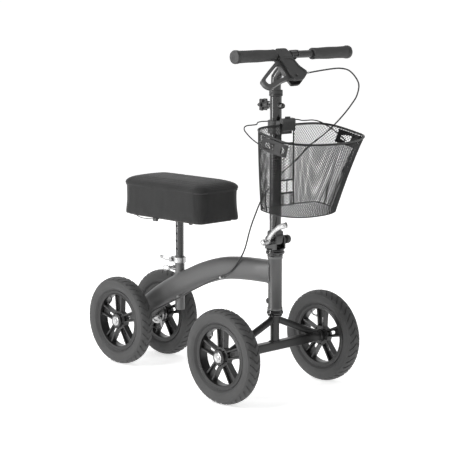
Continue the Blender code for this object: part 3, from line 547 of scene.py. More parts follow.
def rim_mesh():
    """Five-spoke moulded rim about the X axis, facing +X: flanged ring, ribbed spokes, drilled hub."""
    outline = [(0.099, 0.014), (0.1012, 0.0142), (0.1046, 0.0153), (0.1052, 0.0161), (0.1048, 0.0169),
        (0.1036, 0.0172), (0.101, 0.0166), (0.0985, 0.0163), (0.0955, 0.0166), (0.093, 0.0176),
        (0.0916, 0.0174), (0.0908, 0.016), (0.0902, 0.009)]
    ring = outline + [(r, -h) for r, h in reversed(outline)]
    ring += [(0.0965, -0.012), (0.0965, 0.012)]
    verts, faces = lathe_data(ring, SIDE, (0, 0, 0), 120)
    holder = piece("rim_base", verts, faces, RIM_BLACK, None)
    hub_outline = [(0.0072, -0.0215), (0.0195, -0.0215), (0.0205, -0.0205), (0.0212, -0.0125),
        (0.0322, -0.0118), (0.033, -0.0108), (0.033, 0.0098), (0.0318, 0.0112), (0.0262, 0.0118),
        (0.025, 0.013), (0.0242, 0.0205), (0.023, 0.0218), (0.0182, 0.0218), (0.0176, 0.021),
        (0.0172, 0.017), (0.0072, 0.017)]
    spokes = [spoke_data(math.tau * k / SPOKES, 1) for k in range(SPOKES)]
    subtract(holder, [lathe_data(hub_outline, SIDE, (0, 0, 0), 72)] + spokes, "UNION")
    cuts = []
    for k in range(SPOKES):
        turn = math.tau * k / SPOKES
        out = Vector((0, math.sin(turn), math.cos(turn)))
        across = Vector((0, out.z, -out.y))
        slot_outline = [(0.0058 * a, 0.012 * b) for a, b in oval(1, 1, 20, 3.2)]
        cuts.append(prism_data(slot_outline, 0.03, out * 0.0475, across, out))
        between = math.tau * (k + 0.5) / SPOKES
        place = Vector((0, math.sin(between), math.cos(between))) * 0.0278
        cuts.append(lathe_data(rod_outline(0.003, -0.03, 0.03, 0.0001), SIDE, place, 16))
    subtract(holder, cuts)
    mesh = holder.data
    bpy.data.objects.remove(holder, do_unlink=True)
    return mesh


def wheel_places():
    yield "front_left", FRONT_X, FRONT_Y, 1
    yield "front_right", -FRONT_X, FRONT_Y, -1
    yield "rear_left", REAR_X, REAR_Y, 1
    yield "rear_right", -REAR_X, REAR_Y, -1


def make_wheels():
    tread_verts, tread_faces = tyre_mesh()
    first = piece("tyre_base", tread_verts, tread_faces, RUBBER, None, smooth=32)
    tyre, rim = first.data, rim_mesh()
    bpy.data.objects.remove(first, do_unlink=True)
    for tag, x, y, sign in wheel_places():
        for kind, mesh, mat, node_name in (("tyre_tread_", tyre, RUBBER, "tyre_"),
                ("rim_moulded_", rim, RIM_BLACK, "rim_")):
            obj = bpy.data.objects.new(kind + tag, mesh.copy())
            bpy.context.scene.collection.objects.link(obj)
            turn = Matrix.Rotation(0.0 if sign > 0 else math.pi, 4, "Z")
            obj.data.transform(Matrix.Translation((x, y, AXLE_Z)) @ turn)
            finish_piece(obj, "wheel_" + tag, (node_name + tag,))
        bearing = [(0.007, -0.004), (0.017, -0.004), (0.017, 0.0008), (0.015, 0.001), (0.0145, 0.0004),
            (0.0115, 0.0004), (0.011, 0.001), (0.007, 0.001)]
        for face in (1, -1):
            lathe("bearing_%s_%s" % (tag, "out" if face > 0 else "in"), bearing, (sign * face, 0, 0),
                (x + sign * face * (0.0178 if face > 0 else 0.0222), y, AXLE_Z), STEEL, "wheel_" + tag,
                steps=40)
        valve(tag, x, y, sign)


def valve(tag, x, y, sign):
    """Bent valve stem that comes out of the rim's well between two spokes, with its cap."""
    turn = math.tau * 0.5 / SPOKES
    out = Vector((0, math.sin(turn), math.cos(turn)))
    foot = Vector((x, y, AXLE_Z)) + out * 0.0925
    path = smooth_path([foot, foot - out * 0.01, foot - out * 0.017 + Vector((sign * 0.006, 0, 0)),
        foot - out * 0.021 + Vector((sign * 0.014, 0, 0))], 5)
    sweep("valve_stem_" + tag, path, oval(0.0028, 0.0028, 14), (0.2, 0.4, 0.3), STEEL, "wheel_" + tag)
    lathe("valve_cap_" + tag, [(0, 0), (0.0036, 0), (0.004, 0.0008), (0.0038, 0.008), (0.0028, 0.0095),
        (0, 0.0098)], path[-1] - path[-2], path[-1], PLASTIC, "wheel_" + tag, steps=18)


def axle_end(name, x, y, sign, body, stands_for=()):
    """Cupped washer, chamfered nut and thread stub on the end of an axle, as three plated pieces."""
    cup = [(0.0062, 0.0), (0.0158, 0.0), (0.0166, 0.0007), (0.0166, 0.0016), (0.015, 0.0024),
        (0.0118, 0.0028), (0.01, 0.0022), (0.0062, 0.0022)]
    lathe(name + "_washer", cup, (sign, 0, 0), (x, y, AXLE_Z), STEEL, body, stands_for, steps=48)
    verts, faces = hex_nut((x + sign * 0.002, y, AXLE_Z), (sign, 0, 0), 0.015, 0.0022)
    piece(name + "_nut", verts, faces, STEEL, body, smooth=25)
    lathe(name + "_thread", [(0, 0), (0.005, 0), (0.005, 0.003), (0.0044, 0.0036), (0, 0.0036)],
        (sign, 0, 0), (x + sign * 0.001, y, AXLE_Z), STEEL, body, steps=24)


def make_axles():
    axle_end("front_axle_left", 0.2522, FRONT_Y, 1, "steering", ("front_axle",))
    axle_end("front_axle_right", -0.2522, FRONT_Y, -1, "steering")
    axle_end("rear_axle_left", 0.1258, REAR_Y, 1, "frame", ("rear_axle",))
    axle_end("rear_axle_right", -0.1258, REAR_Y, -1, "frame")
    lathe("front_axle_rod", rod_outline(0.0058, -0.252, 0.252, 0.0005), SIDE, (0, FRONT_Y, AXLE_Z), STEEL,
        "steering", steps=28)
    lathe("rear_axle_rod", rod_outline(0.0058, -0.1256, 0.1256, 0.0005), SIDE, (0, REAR_Y, AXLE_Z), STEEL,
        "frame", steps=28)
    plug = [(0.006, 0.0), (0.0104, 0.0), (0.0106, 0.0004), (0.0106, 0.014), (0.01, 0.0156), (0.006, 0.0156)]
    wide = [(0.006, 0.0), (0.0128, 0.0), (0.0131, 0.0004), (0.0131, 0.0145), (0.0122, 0.0158),
        (0.006, 0.0158)]
    for side_tag, sign in (("left", 1), ("right", -1)):
        lathe("front_spacer_" + side_tag, plug, (sign, 0, 0), (sign * 0.1882, FRONT_Y, AXLE_Z), STEEL,
            "steering", steps=40)
        lathe("rear_spacer_" + side_tag, wide, (sign, 0, 0), (sign * 0.0422, REAR_Y, AXLE_Z), STEEL,
            "frame", steps=40)


# ---------------------------------------------------------------- frame and fork
def weld_bead(name, path, radius, mat, body, closed=True):
    """A rippled fillet weld that follows a path."""
    fine = smooth_path(path, 6, closed)
    scales = [(1 + 0.16 * math.sin(i * 1.35), 1 + 0.16 * math.sin(i * 1.35)) for i in range(len(fine))]
    side = (0.31, 0.22, 0.93)
    sweep(name, fine, oval(radius, radius, 8), side, mat, body, closed=closed, scales=scales)


def ring_at(centre, axis, radius, count=16, lift=None):
    """Points of a circle about an axis; lift moves each point along the axis to where two tubes meet."""
    turn, centre = turn_to(axis), Vector(centre)
    points = []
    for i in range(count):
        a = math.tau * i / count
        p = Vector((radius * math.cos(a), radius * math.sin(a), 0))
        p.z = lift(p.x, p.y) if lift else 0.0
        points.append(centre + turn @ p)
    return points


MAIN_PATH = [(0, -0.262, 0.3935), (0, -0.168, 0.3915), (0, -0.09, 0.386), (0, -0.02, 0.375),
    (0, 0.06, 0.3505), (0, 0.13, 0.3205), (0, 0.205, 0.285), (0, 0.28, 0.244), (0, 0.352, 0.195),
    (0, 0.384, 0.172)]
MAIN_HALF_X, MAIN_HALF_B = 0.028, 0.0375


def make_frame():
    path = smooth_path(MAIN_PATH, 8)
    path[0] = Vector((0, -0.256, 0.3934))
    while path[1].y < path[0].y + 0.004:
        path.pop(1)
    skin = sweep("main_tube_skin", path, oval(MAIN_HALF_X, MAIN_HALF_B, 48, 2.5), SIDE, FRAME_GREY, "frame",
        ("main_tube",), smooth=50, scales=[(0.76 + 0.24 * min((p.y + 0.256) / 0.06, 1.0),
        1.0) for p in path])
    subtract(skin, [lathe_data(rod_outline(0.016, 0.1, 0.5, 0.0001), UP, (0, SEAT_Y, 0), 48),
        lathe_data(rod_outline(0.0223, 0.3, 0.5, 0.0001), UP, (0, STEM_Y, 0), 64)])
    clip = prism("cable_clip", rounded([(-0.0386, 0.3476), (-0.02, 0.3465), (-0.02, 0.358),
        (-0.0386, 0.3568)], 2, 0.18), 0.004, (0, -0.048, 0), SIDE, UP, STEEL, "frame")
    subtract(clip, [lathe_data(rod_outline(0.0029, -0.02, 0.02, 0.0001), (0, 1, -0.36),
        (-0.0335, -0.048, 0.352), 24)])
    soften(clip, 0.0006, 2, 50)
    tube("rear_beam_tube", 0.016, 0.0135, (-0.0415, REAR_Y, AXLE_Z), (0.0415, REAR_Y, AXLE_Z), FRAME_GREY,
        "frame", ("rear_beam",))
    weld_bead("rear_weld", [(x, REAR_Y + dy, AXLE_Z + dz) for x, dy, dz in ((-0.028, -0.004, 0.0156),
        (-0.01, -0.0095, 0.013), (0.01, -0.0095, 0.013), (0.028, -0.004, 0.0156))], 0.0024, FRAME_GREY,
        "frame", closed=False)
    head = [(0.0172, 0.2722), (0.0246, 0.2722), (0.0246, 0.279), (0.0225, 0.282), (0.0225, 0.437),
        (0.0246, 0.44), (0.0246, 0.4465), (0.0172, 0.4465)]
    tube_piece = lathe("head_tube_body", head, UP, (0, STEM_Y, 0), FRAME_GREY, "frame", ("head_tube",))
    boss = lathe_data(rod_outline(0.009, 0.0, 0.0085, 0.0012), (-0.62, 0.78, 0),
        (-0.0118, STEM_Y + 0.014, 0.3), 32)
    subtract(tube_piece, [boss], "UNION")
    verts, faces = hex_nut((-0.0118 - 0.62 * 0.008, STEM_Y + 0.014 + 0.78 * 0.008, 0.3), (-0.62, 0.78, 0),
        0.0095, 0.0035)
    piece("head_grease_plug", verts, faces, STEEL, "frame", smooth=25)
    weld = []
    for a, b in oval(0.0285, 0.0378, 24, 2.3):
        reach = math.sqrt(max(0.0228 ** 2 - min(abs(a), 0.0224) ** 2, 0.0))
        weld.append((min(max(a, -0.0236), 0.0236), STEM_Y + reach + 0.0012, 0.3932 + b))
    weld_bead("head_weld", weld, 0.0022, FRAME_GREY, "frame")
    for name, outline, cad in (("lower_cup", [(0.0175, 0.259), (0.0262, 0.259), (0.027, 0.26),
            (0.027, 0.265), (0.0252, 0.268), (0.0252, 0.2715), (0.0175, 0.2715)], "cup_bottom"),
            ("upper_cup", [(0.0175, 0.447), (0.025, 0.447), (0.0258, 0.448), (0.0262, 0.453),
            (0.03, 0.4565), (0.031, 0.458), (0.031, 0.4625), (0.03, 0.464), (0.0175, 0.464)], "cup_top"),
            ("crown_ring", [(0.015, 0.2523), (0.0235, 0.2523), (0.024, 0.253), (0.024, 0.2556),
            (0.0187, 0.2586), (0.015, 0.2586)], "crown_race")):
        lathe(name, outline, UP, (0, STEM_Y, 0), GLOSS, "steering" if cad == "crown_race" else "frame",
            (cad,))


def make_fork():
    prism("fork_beam_tube", rounded(rectangle(-0.0145, -0.0145, 0.0145, 0.0145), 2, 0.12), 0.2065,
        (0, FRONT_Y, AXLE_Z), BACK, UP, SATIN, "steering", ("fork_beam",), bevel=0.0004)
    for sign in (1, -1):
        cap = rounded(rectangle(-0.0122, -0.0122, 0.0122, 0.0122), 2, 0.15)
        prism("fork_end_cap_" + ("left" if sign > 0 else "right"), cap, 0.0012,
            (sign * 0.207, FRONT_Y, AXLE_Z), BACK, UP, PLASTIC, "steering", bevel=0.0005)
    prism("fork_post_plate", rounded(rectangle(-0.015, -0.01, 0.015, 0.01), 2, 0.2),
        (0.252 - AXLE_Z - 0.0148) / 2, (0, STEM_Y, (0.252 + AXLE_Z + 0.0148) / 2), SIDE, BACK, SATIN,
        "steering", ("fork_post",), bevel=0.0006)
    for side_tag, sign in (("left", 1), ("right", -1)):
        start, end = Vector((sign * 0.008, FRONT_Y, 0.2404)), Vector((sign * 0.196, FRONT_Y, 0.1634))
        sweep("fork_brace_tube_" + side_tag, [start + (end - start) * (k / 12) for k in range(13)],
            oval(0.0115, 0.0115, 40), BACK, SATIN, "steering", ("fork_brace_" + side_tag,))
        foot = [(sign * (0.164 + 0.036 * math.cos(a) * 0.5), FRONT_Y + 0.0118 * math.sin(a),
            0.1682) for a in (math.tau * k / 10 for k in range(10))]
        weld_bead("fork_foot_weld_" + side_tag, foot, 0.0016, SATIN, "steering")
        collar = [(sign * (0.016 + 0.0012 * math.cos(a)), FRONT_Y + 0.0118 * math.cos(a),
            0.2372 + 0.0125 * math.sin(a)) for a in (math.tau * k / 10 for k in range(10))]
        weld_bead("fork_head_weld_" + side_tag, collar, 0.0016, SATIN, "steering")
    base = [(x * 0.016, STEM_Y + y * 0.011, AXLE_Z + 0.015) for x, y in ((-1, -1), (0, -1.05), (1, -1),
        (1.05, 0), (1, 1), (0, 1.05), (-1, 1), (-1.05, 0))]
    weld_bead("fork_post_weld", base, 0.0018, SATIN, "steering")


def make_seat_support():
    tube("seat_tube_sleeve", 0.0165, 0.0142, (0, SEAT_Y, 0.205), (0, SEAT_Y, 0.39), FRAME_GREY, "frame",
        ("seat_tube",))
    direction = Vector((-0.75, 0.66, 0)).normalized()
    root = Vector((0, SEAT_Y, 0.35))
    sleeve = [(0.0036, 0.015), (0.0085, 0.015), (0.0085, 0.024), (0.0074, 0.025), (0.0062, 0.0252),
        (0.0062, 0.0322), (0.0055, 0.033), (0.0036, 0.033)]
    lathe("pin_sleeve", sleeve, direction, root, STEEL, "frame", steps=36)
    head = [(0, 0.015), (0.0034, 0.015), (0.0034, 0.0333), (0.007, 0.0335), (0.0078, 0.0342),
        (0.0078, 0.0372), (0.0066, 0.0386), (0, 0.039)]
    lathe("pull_pin_head", head, direction, root, STEEL, "pull_pin", ("pull_pin",), steps=36)
    across = direction.cross(Vector(UP)).normalized()
    centre = root + direction * 0.048
    loop = [centre + direction * (0.0092 * math.cos(a)) + Vector((0, 0,
        0.0092 * math.sin(a))) for a in (math.tau * k / 40 for k in range(40))]
    sweep("pull_pin_ring", loop, oval(0.0013, 0.0013, 12), across, STEEL, "pull_pin", closed=True)
    weld = []
    for i in range(20):
        a = math.tau * i / 20
        x, y = 0.0172 * math.cos(a), 0.0172 * math.sin(a)
        weld.append((x, SEAT_Y + y, tube_top(x, SEAT_Y + y) + 0.0004))
    weld_bead("seat_tube_weld", weld, 0.0025, FRAME_GREY, "frame")
    post = tube("seat_post_tube", 0.014, 0.0118, (0, SEAT_Y, 0.26), (0, SEAT_Y, 0.5205), GLOSS, "seat",
        ("seat_post",))
    holes = [lathe_data(rod_outline(0.004, -0.03, 0.03, 0.0001), SIDE, (0, SEAT_Y, 0.418 + 0.026 * k),
        24) for k in range(4)]
    subtract(post, holes)
    clamp = tube("seat_clamp_band", 0.0215, 0.0168, (0, SEAT_Y, 0.368), (0, SEAT_Y, 0.388), STEEL, "frame",
        ("seat_clamp",), edge=0.0012)
    ears = [prism_data([(0.0175, -0.01), (0.03, -0.01), (0.035, -0.006), (0.036, 0.0), (0.035, 0.006),
        (0.03, 0.01), (0.0175, 0.01)], 0.0035, (sign * 0.006, SEAT_Y, 0.378), BACK, UP) for sign in (1, -1)]
    subtract(clamp, ears, "UNION")
    subtract(clamp, [prism_data(rectangle(0.012, -0.02, 0.05, 0.02), 0.0025, (0, SEAT_Y, 0.378), BACK, UP)])
    bolt = (0, SEAT_Y + 0.028, 0.378)
    lathe("seat_clamp_bolt", [(0, -0.024), (0.0026, -0.024), (0.0026, 0.0096), (0.0078, 0.0098),
        (0.0081, 0.0104), (0.0078, 0.0152), (0.0066, 0.016), (0, 0.016)], SIDE, bolt, STEEL, "frame",
        steps=32)
    hub = lathe("seat_lever_hub", rod_outline(0.0085, -0.0225, -0.0099, 0.0012), SIDE, bolt, STEEL,
        "seat_lever", ("seat_clamp_lever",), steps=40)
    arm = smooth_path([(-0.0162, bolt[1] + 0.001, 0.378), (-0.0185, bolt[1] + 0.01, 0.3788),
        (-0.0215, bolt[1] + 0.022, 0.3806), (-0.0232, bolt[1] + 0.034, 0.3822),
        (-0.023, bolt[1] + 0.0455, 0.383)], 6)
    scales = [(1.15 - 0.3 * k / (len(arm) - 1), 1.0) for k in range(len(arm))]
    subtract(hub, [sweep_data(arm, oval(0.006, 0.0022, 24, 2.6), UP, scales=scales)], "UNION")


def tube_top(x, y):
    """Height of the main tube's upper surface above a point on the ground."""
    for low, high in zip(MAIN_PATH, MAIN_PATH[1:]):
        if low[1] <= y <= high[1]:
            share = (y - low[1]) / (high[1] - low[1])
            middle = low[2] + (high[2] - low[2]) * share
            slope = (high[2] - low[2]) / (high[1] - low[1])
            drop = 1 - min(abs(x) / MAIN_HALF_X, 1.0) ** 2.5
            return middle + MAIN_HALF_B * drop ** (1 / 2.5) * math.sqrt(1 + slope * slope)
    return MAIN_PATH[0][2]


# ---------------------------------------------------------------- folding joint
FOLD_AXIS = (0, STEM_Y, FOLD_Z)


def make_fold_joint():
    lathe("steerer_tube", rectangle(0.0118, 0.259, 0.0143, 0.4642), UP, (0, STEM_Y, 0), STEEL, "steering",
        ("steerer",), steps=40)
    base = lathe("fold_yoke", [(0.012, 0.4645), (0.028, 0.4645), (0.029, 0.4655), (0.029, 0.4695),
        (0.0284, 0.471), (0.0266, 0.4735), (0.012, 0.4735)], UP, (0, STEM_Y, 0), GLOSS, "steering",
        ("fold_base",), steps=72)
    cheek = [(-0.024, 0.4715), (0.024, 0.4715), (0.024, 0.501)]
    cheek += [(0.024 * math.cos(math.pi * k / 16),
        0.501 + 0.0175 * math.sin(math.pi * k / 16)) for k in range(1, 16)]
    cheek += [(-0.024, 0.501)]
    subtract(base, [prism_data(cheek, 0.003, (sign * 0.0198, STEM_Y, 0), BACK, UP) for sign in (1, -1)],
        "UNION")
    subtract(base, [lathe_data(rod_outline(0.0053, -0.05, 0.05, 0.0001), SIDE, FOLD_AXIS, 32)])
    soften(base, 0.0007, 2, 50)
    foot = [(0.0205 * math.cos(a),
        FOLD_Z + 0.0205 * math.sin(a)) for a in (math.pi + math.pi * k / 24 for k in range(25))]
    foot += [(0.0205, 0.525), (0.019, 0.5285), (0.016, 0.5297), (-0.016, 0.5297), (-0.019, 0.5285),
        (-0.0205, 0.525)]
    block = prism("fold_block", foot, 0.0162, (0, STEM_Y, 0), BACK, UP, GLOSS, "tiller", ("fold_foot",),
        bevel=0.001)
    subtract(block, [lathe_data(rod_outline(0.0053, -0.05, 0.05, 0.0001), SIDE, FOLD_AXIS, 32)])
    lathe("fold_bolt", [(0, -0.061), (0.0062, -0.0609), (0.0078, -0.0602), (0.009, -0.0588),
        (0.0092, -0.0574), (0.0092, -0.0524), (0.0088, -0.052), (0.0048, -0.052), (0.0048, 0.04),
        (0, 0.04)], SIDE, FOLD_AXIS, STEEL, "steering", ("fold_skewer",), steps=48)
    for k in (1, -1):
        lathe("fold_washer_" + ("left" if k > 0 else "right"), [(0.005, 0), (0.0105, 0), (0.0108, 0.0003),
            (0.0105, 0.0006), (0.005, 0.0006)], (k, 0, 0), (k * 0.02285, STEM_Y, FOLD_Z), STEEL, "steering",
            steps=40)
    knob = lathe("fold_knob_body", [(0.0051, 0.0237), (0.008, 0.0237), (0.0086, 0.0243), (0.009, 0.0415),
        (0.0108, 0.0432), (0.0135, 0.044), (0.014, 0.0448), (0.014, 0.0575), (0.0132, 0.06), (0.011, 0.062),
        (0.006, 0.0625), (0, 0.0625), (0, 0.0404), (0.0051, 0.0404)], SIDE, FOLD_AXIS, PLASTIC, "fold_knob",
        ("fold_knob",), steps=72)
    flutes = []
    for k in range(12):
        a = math.tau * k / 12
        flutes.append(lathe_data(rod_outline(0.0013, 0.045, 0.061, 0.0006), SIDE,
            (0, STEM_Y + 0.0146 * math.cos(a), FOLD_Z + 0.0146 * math.sin(a)), 14))
    subtract(knob, flutes)
    hub = lathe("cam_lever_body", [(0.0051, -0.0517), (0.0105, -0.0517), (0.0115, -0.0507),
        (0.0115, -0.0242), (0.0105, -0.0232), (0.0051, -0.0232)], SIDE, FOLD_AXIS, STEEL, "cam_lever",
        ("cam_lever",), steps=64)
    arm = smooth_path([(-0.039, STEM_Y - 0.004, FOLD_Z + 0.002), (-0.039, STEM_Y - 0.019, FOLD_Z + 0.024),
        (-0.039, STEM_Y - 0.038, FOLD_Z + 0.042), (-0.039, STEM_Y - 0.062, FOLD_Z + 0.056),
        (-0.039, STEM_Y - 0.09, FOLD_Z + 0.065)], 8)
    count = len(arm) - 1
    scales = []
    for k in range(count + 1):
        flare = 0.88 + 0.22 * (k / count) ** 3
        scales.append((flare if k < count else 0.62, 1.0 if k < count else 0.6))
    blade = sweep_data(arm, oval(0.0042, 0.0088, 36, 3.0), SIDE, scales=[(b, a) for a, b in scales])
    subtract(hub, [blade], "UNION")
    tip = arm[-4]
    subtract(hub, [lathe_data(rod_outline(0.003, -0.06, -0.02, 0.0001), SIDE, (0, tip.y, tip.z), 28)])


# ---------------------------------------------------------------- tiller, bar and grips
def make_tiller():
    tiller = tube("tiller_tube", 0.019, 0.0169, (0, STEM_Y, 0.5298), (0, STEM_Y, 0.9617), GLOSS, "tiller",
        ("tiller",), steps=80)
    boss = lathe_data([(0, 0.015), (0.0112, 0.015), (0.0108, 0.02), (0.01, 0.0215), (0.01, 0.0284),
        (0.0094, 0.029), (0, 0.029)], BACK, (0, STEM_Y, BOLT_Z), 40)
    front = lathe_data([(0, 0.015), (0.0095, 0.015), (0.0095, 0.029), (0.0088, 0.0315), (0.007, 0.0345),
        (0.004, 0.0358), (0, 0.036)], (0, -1, 0), (0, STEM_Y, BOLT_Z), 40)
    subtract(tiller, [boss, front], "UNION")
    weld_bead("tiller_weld", ring_at((0, STEM_Y, 0.5302), UP, 0.0194, 14), 0.0019, GLOSS, "tiller")
    lathe("tiller_sleeve", [(0.0168, 0.9622), (0.0212, 0.9622), (0.022, 0.963), (0.022, 0.969),
        (0.0214, 0.97), (0.022, 0.971), (0.022, 0.9795), (0.02, 0.9818), (0.0168, 0.982)], UP,
        (0, STEM_Y, 0), PLASTIC, "tiller", ("tiller_collar",), steps=72)
    star = []
    for k in range(96):
        a = math.tau * k / 96
        r = 0.018 + 0.0035 * math.cos(6 * a)
        star.append((r * math.cos(a), r * math.sin(a)))
    knob = prism("star_grip", star, 0.0065, (0, STEM_Y + 0.056, BOLT_Z), SIDE, UP, PLASTIC, "star_knob",
        ("star_knob",), bevel=0.002, segments=3)
    stem = lathe_data([(0, 0.0168), (0.004, 0.0168), (0.004, 0.0293), (0.0108, 0.0293), (0.0115, 0.0299),
        (0.0117, 0.032), (0.013, 0.0345), (0.0133, 0.042), (0.0135, 0.052), (0, 0.052)], BACK,
        (0, STEM_Y, BOLT_Z), 48)
    subtract(knob, [stem], "UNION")
    neck = smooth_path([(0, STEM_Y, 0.8), (0, STEM_Y, 1.0), (0, STEM_Y - 0.006, 1.028),
        (0, STEM_Y - 0.03, 1.054), (0, BAR_Y, BAR_Z)], 10)
    neck = [neck[0]] + neck[9:]
    neck[-1] = neck[-1] - (neck[-1] - neck[-2]).normalized() * 0.009
    sweep("upper_stem", neck, oval(0.0165, 0.0165, 64), SIDE, GLOSS, "handlebar", ("upper_tube",),
        smooth=50)
    axis = (neck[-1] - neck[-2]).normalized()
    weld = []
    for i in range(20):
        a = math.tau * i / 20
        u, v = 0.0168 * math.cos(a), 0.0168 * math.sin(a)
        level = math.sqrt(max(0.0127 ** 2 - min(abs(v), 0.012) ** 2, 0.0))
        second = axis.cross(Vector(SIDE))
        weld.append(Vector((0, BAR_Y,
            BAR_Z)) - axis * (level + 0.0004) + Vector(SIDE) * u + second * max(min(v, 0.0126), -0.0126))
    weld_bead("bar_weld", weld, 0.002, GLOSS, "handlebar")
    lathe("bar_tube", [(0.0098, -0.25), (0.0118, -0.25), (0.012, -0.2497), (0.012, 0.2497), (0.0118, 0.25),
        (0.0098, 0.25)], SIDE, (0, BAR_Y, BAR_Z), SATIN, "handlebar", ("handlebar",), steps=64)


def make_grips():
    for side_tag, sign in (("left", 1), ("right", -1)):
        outline = [(0.0122, 0.085), (0.0172, 0.085), (0.0182, 0.0856), (0.0186, 0.087), (0.0187, 0.089),
            (0.0186, 0.091), (0.0184, 0.0925)]
        body = smooth_path([(0.0182, 0.094, 0), (0.018, 0.115, 0), (0.0186, 0.135, 0), (0.0192, 0.155, 0),
            (0.0191, 0.178, 0), (0.0188, 0.2, 0), (0.0192, 0.225, 0), (0.0197, 0.24, 0)], 9)
        for k, p in enumerate(body):
            outline.append((p.x + 0.00012 * math.sin(k * 2.1), p.y))
        lathe("grip_sleeve_" + side_tag, outline + [(0.0197, 0.2424), (0.0122, 0.2424)], (sign, 0, 0),
            (0, BAR_Y, BAR_Z), FOAM, "handlebar", ("grip_" + side_tag,), steps=72)
        cap = [(0.0122, 0.2428), (0.0203, 0.2428), (0.0212, 0.244), (0.0213, 0.25), (0.0213, 0.253),
            (0.0206, 0.2555), (0.019, 0.2567), (0.008, 0.2568), (0.007, 0.256), (0, 0.256), (0, 0.2504),
            (0.0122, 0.2504)]
        lathe("grip_end_" + side_tag, cap, (sign, 0, 0), (0, BAR_Y, BAR_Z), PLASTIC, "handlebar", steps=72)


# ---------------------------------------------------------------- brake lever set
ROOT_HALF = math.sqrt(0.5)
ORIGIN = Vector((0, BAR_Y, BAR_Z))
DOWN = Vector((0, -ROOT_HALF, -ROOT_HALF))
NORMAL = Vector((0, ROOT_HALF, -ROOT_HALF))
LEVER_PIVOT = (-0.062, 0.095)


def on_plane(a, b, out=0.0):
    return ORIGIN + Vector((a, 0, 0)) + DOWN * b + NORMAL * out


def make_brake_set():
    shell = rounded([(-0.083, -0.0145), (-0.033, -0.015), (-0.028, -0.002), (-0.029, 0.03), (-0.024, 0.06),
        (-0.0085, 0.081), (-0.013, 0.091), (-0.046, 0.115), (-0.083, 0.116), (-0.086, 0.11),
        (-0.086, 0.024), (-0.083, 0.023)], 2, 0.14)
    housing = prism("brake_body", shell, 0.015, ORIGIN, SIDE, DOWN, PLASTIC, "handlebar",
        ("brake_housing",))
    pivot = on_plane(*LEVER_PIVOT)
    slot = prism_data([(-0.1, 0.023), (-0.04, 0.023), (-0.038, 0.08), (-0.042, 0.14), (-0.1, 0.14)], 0.0085,
        ORIGIN, SIDE, DOWN)
    recess = prism_data(rounded([(-0.076, 0.029), (-0.035, 0.029), (-0.032, 0.062), (-0.018, 0.081),
        (-0.021, 0.088), (-0.048, 0.107), (-0.076, 0.107)], 2, 0.16), 0.0009, ORIGIN - NORMAL * 0.015, SIDE,
        DOWN)
    split = prism_data(rectangle(-0.085, 0.0196, -0.025, 0.0204), 0.001, ORIGIN - NORMAL * 0.015, SIDE,
        DOWN)
    subtract(housing, [lathe_data(rod_outline(BAR_R + 0.0002, -0.2, 0.1, 0.0001), SIDE, ORIGIN, 48), slot,
        recess, split])
    soften(housing, 0.0009, 2, 48)
    lathe("lever_pin", [(0, -0.0168), (0.0046, -0.0168), (0.005, -0.0162), (0.005, -0.015),
        (0.003, -0.0148), (0.003, 0.0148), (0.005, 0.015), (0.005, 0.0162), (0.0046, 0.0168), (0, 0.0168)],
        NORMAL, pivot, PLASTIC, "handlebar", steps=32)
    lathe("brake_clamp_screw", [(0, 0), (0.003, 0), (0.0032, 0.0004), (0.0026, 0.0012), (0, 0.0013)],
        -NORMAL, on_plane(-0.056, -0.006, -0.0148), PLASTIC, "handlebar", steps=28)
    outer = [(-0.072, 0.032), (-0.086, 0.029), (-0.1022, 0.03), (-0.156, 0.0625), (-0.207, 0.0945),
        (-0.216, 0.104), (-0.215, 0.121), (-0.206, 0.1315), (-0.193, 0.1355), (-0.131, 0.1115),
        (-0.089, 0.101), (-0.074, 0.103), (-0.06, 0.1045), (-0.052, 0.098), (-0.053, 0.089), (-0.062, 0.07),
        (-0.066, 0.04)]
    inner = [(-0.096, 0.044), (-0.1, 0.042), (-0.105, 0.044), (-0.148, 0.07), (-0.194, 0.0985),
        (-0.199, 0.105), (-0.1975, 0.115), (-0.191, 0.1195), (-0.133, 0.1), (-0.101, 0.09), (-0.096, 0.084)]
    lever = prism("brake_lever_loop", rounded(outer, 2, 0.2), 0.0063, ORIGIN, SIDE, DOWN, PLASTIC_SOFT,
        "brake_lever", ("brake_lever",))
    subtract(lever, [prism_data(rounded(inner, 2, 0.2), 0.02, ORIGIN, SIDE, DOWN),
        lathe_data(rod_outline(0.0033, -0.03, 0.03, 0.0001), NORMAL, pivot, 28)])
    soften(lever, 0.002, 3, 50)


# ---------------------------------------------------------------- brake cable
ADJUST = on_plane(-0.0078, 0.08)
EXIT_DIR = Vector((1, -0.12, 0.1)).normalized()
ROUTE = [ADJUST + EXIT_DIR * 0.0184, (0.0731, -0.408, 1.0477), (0.1262, -0.423, 1.051),
    (0.1678, -0.43, 1.0395), (0.212, -0.425, 1.001), (0.2192, -0.413, 0.9619), (0.212, -0.395, 0.93),
    (0.2033, -0.368, 0.895), (0.1946, -0.333, 0.8588), (0.1805, -0.298, 0.8248), (0.155, -0.265, 0.792),
    (0.114, -0.243, 0.7449), (0.065, -0.226, 0.705), (0.0306, -0.214, 0.6664), (0.0, -0.203, 0.6259),
    (-0.0201, -0.188, 0.5646), (-0.0285, -0.177, 0.523), (-0.028, -0.153, 0.458), (-0.031, -0.125, 0.413),
    (-0.0325, -0.093, 0.379), (-0.033, -0.066, 0.362), (-0.0335, -0.048, 0.352), (-0.0335, -0.008, 0.337),
    (-0.0335, 0.0508, 0.31), (-0.0335, 0.1055, 0.283), (-0.0335, 0.17, 0.249), (-0.033, 0.24, 0.215),
    (-0.03, 0.3, 0.185), (-0.02, 0.335, 0.15), (0.005, 0.35, 0.123), (0.035, 0.358, 0.108),
    (0.048, 0.36, 0.106)]
CABLE_LEGS = (("cable_bar", 0, 12), ("cable_tiller", 12, 16), ("cable_steer", 16, 21),
    ("cable_frame", 21, 31))


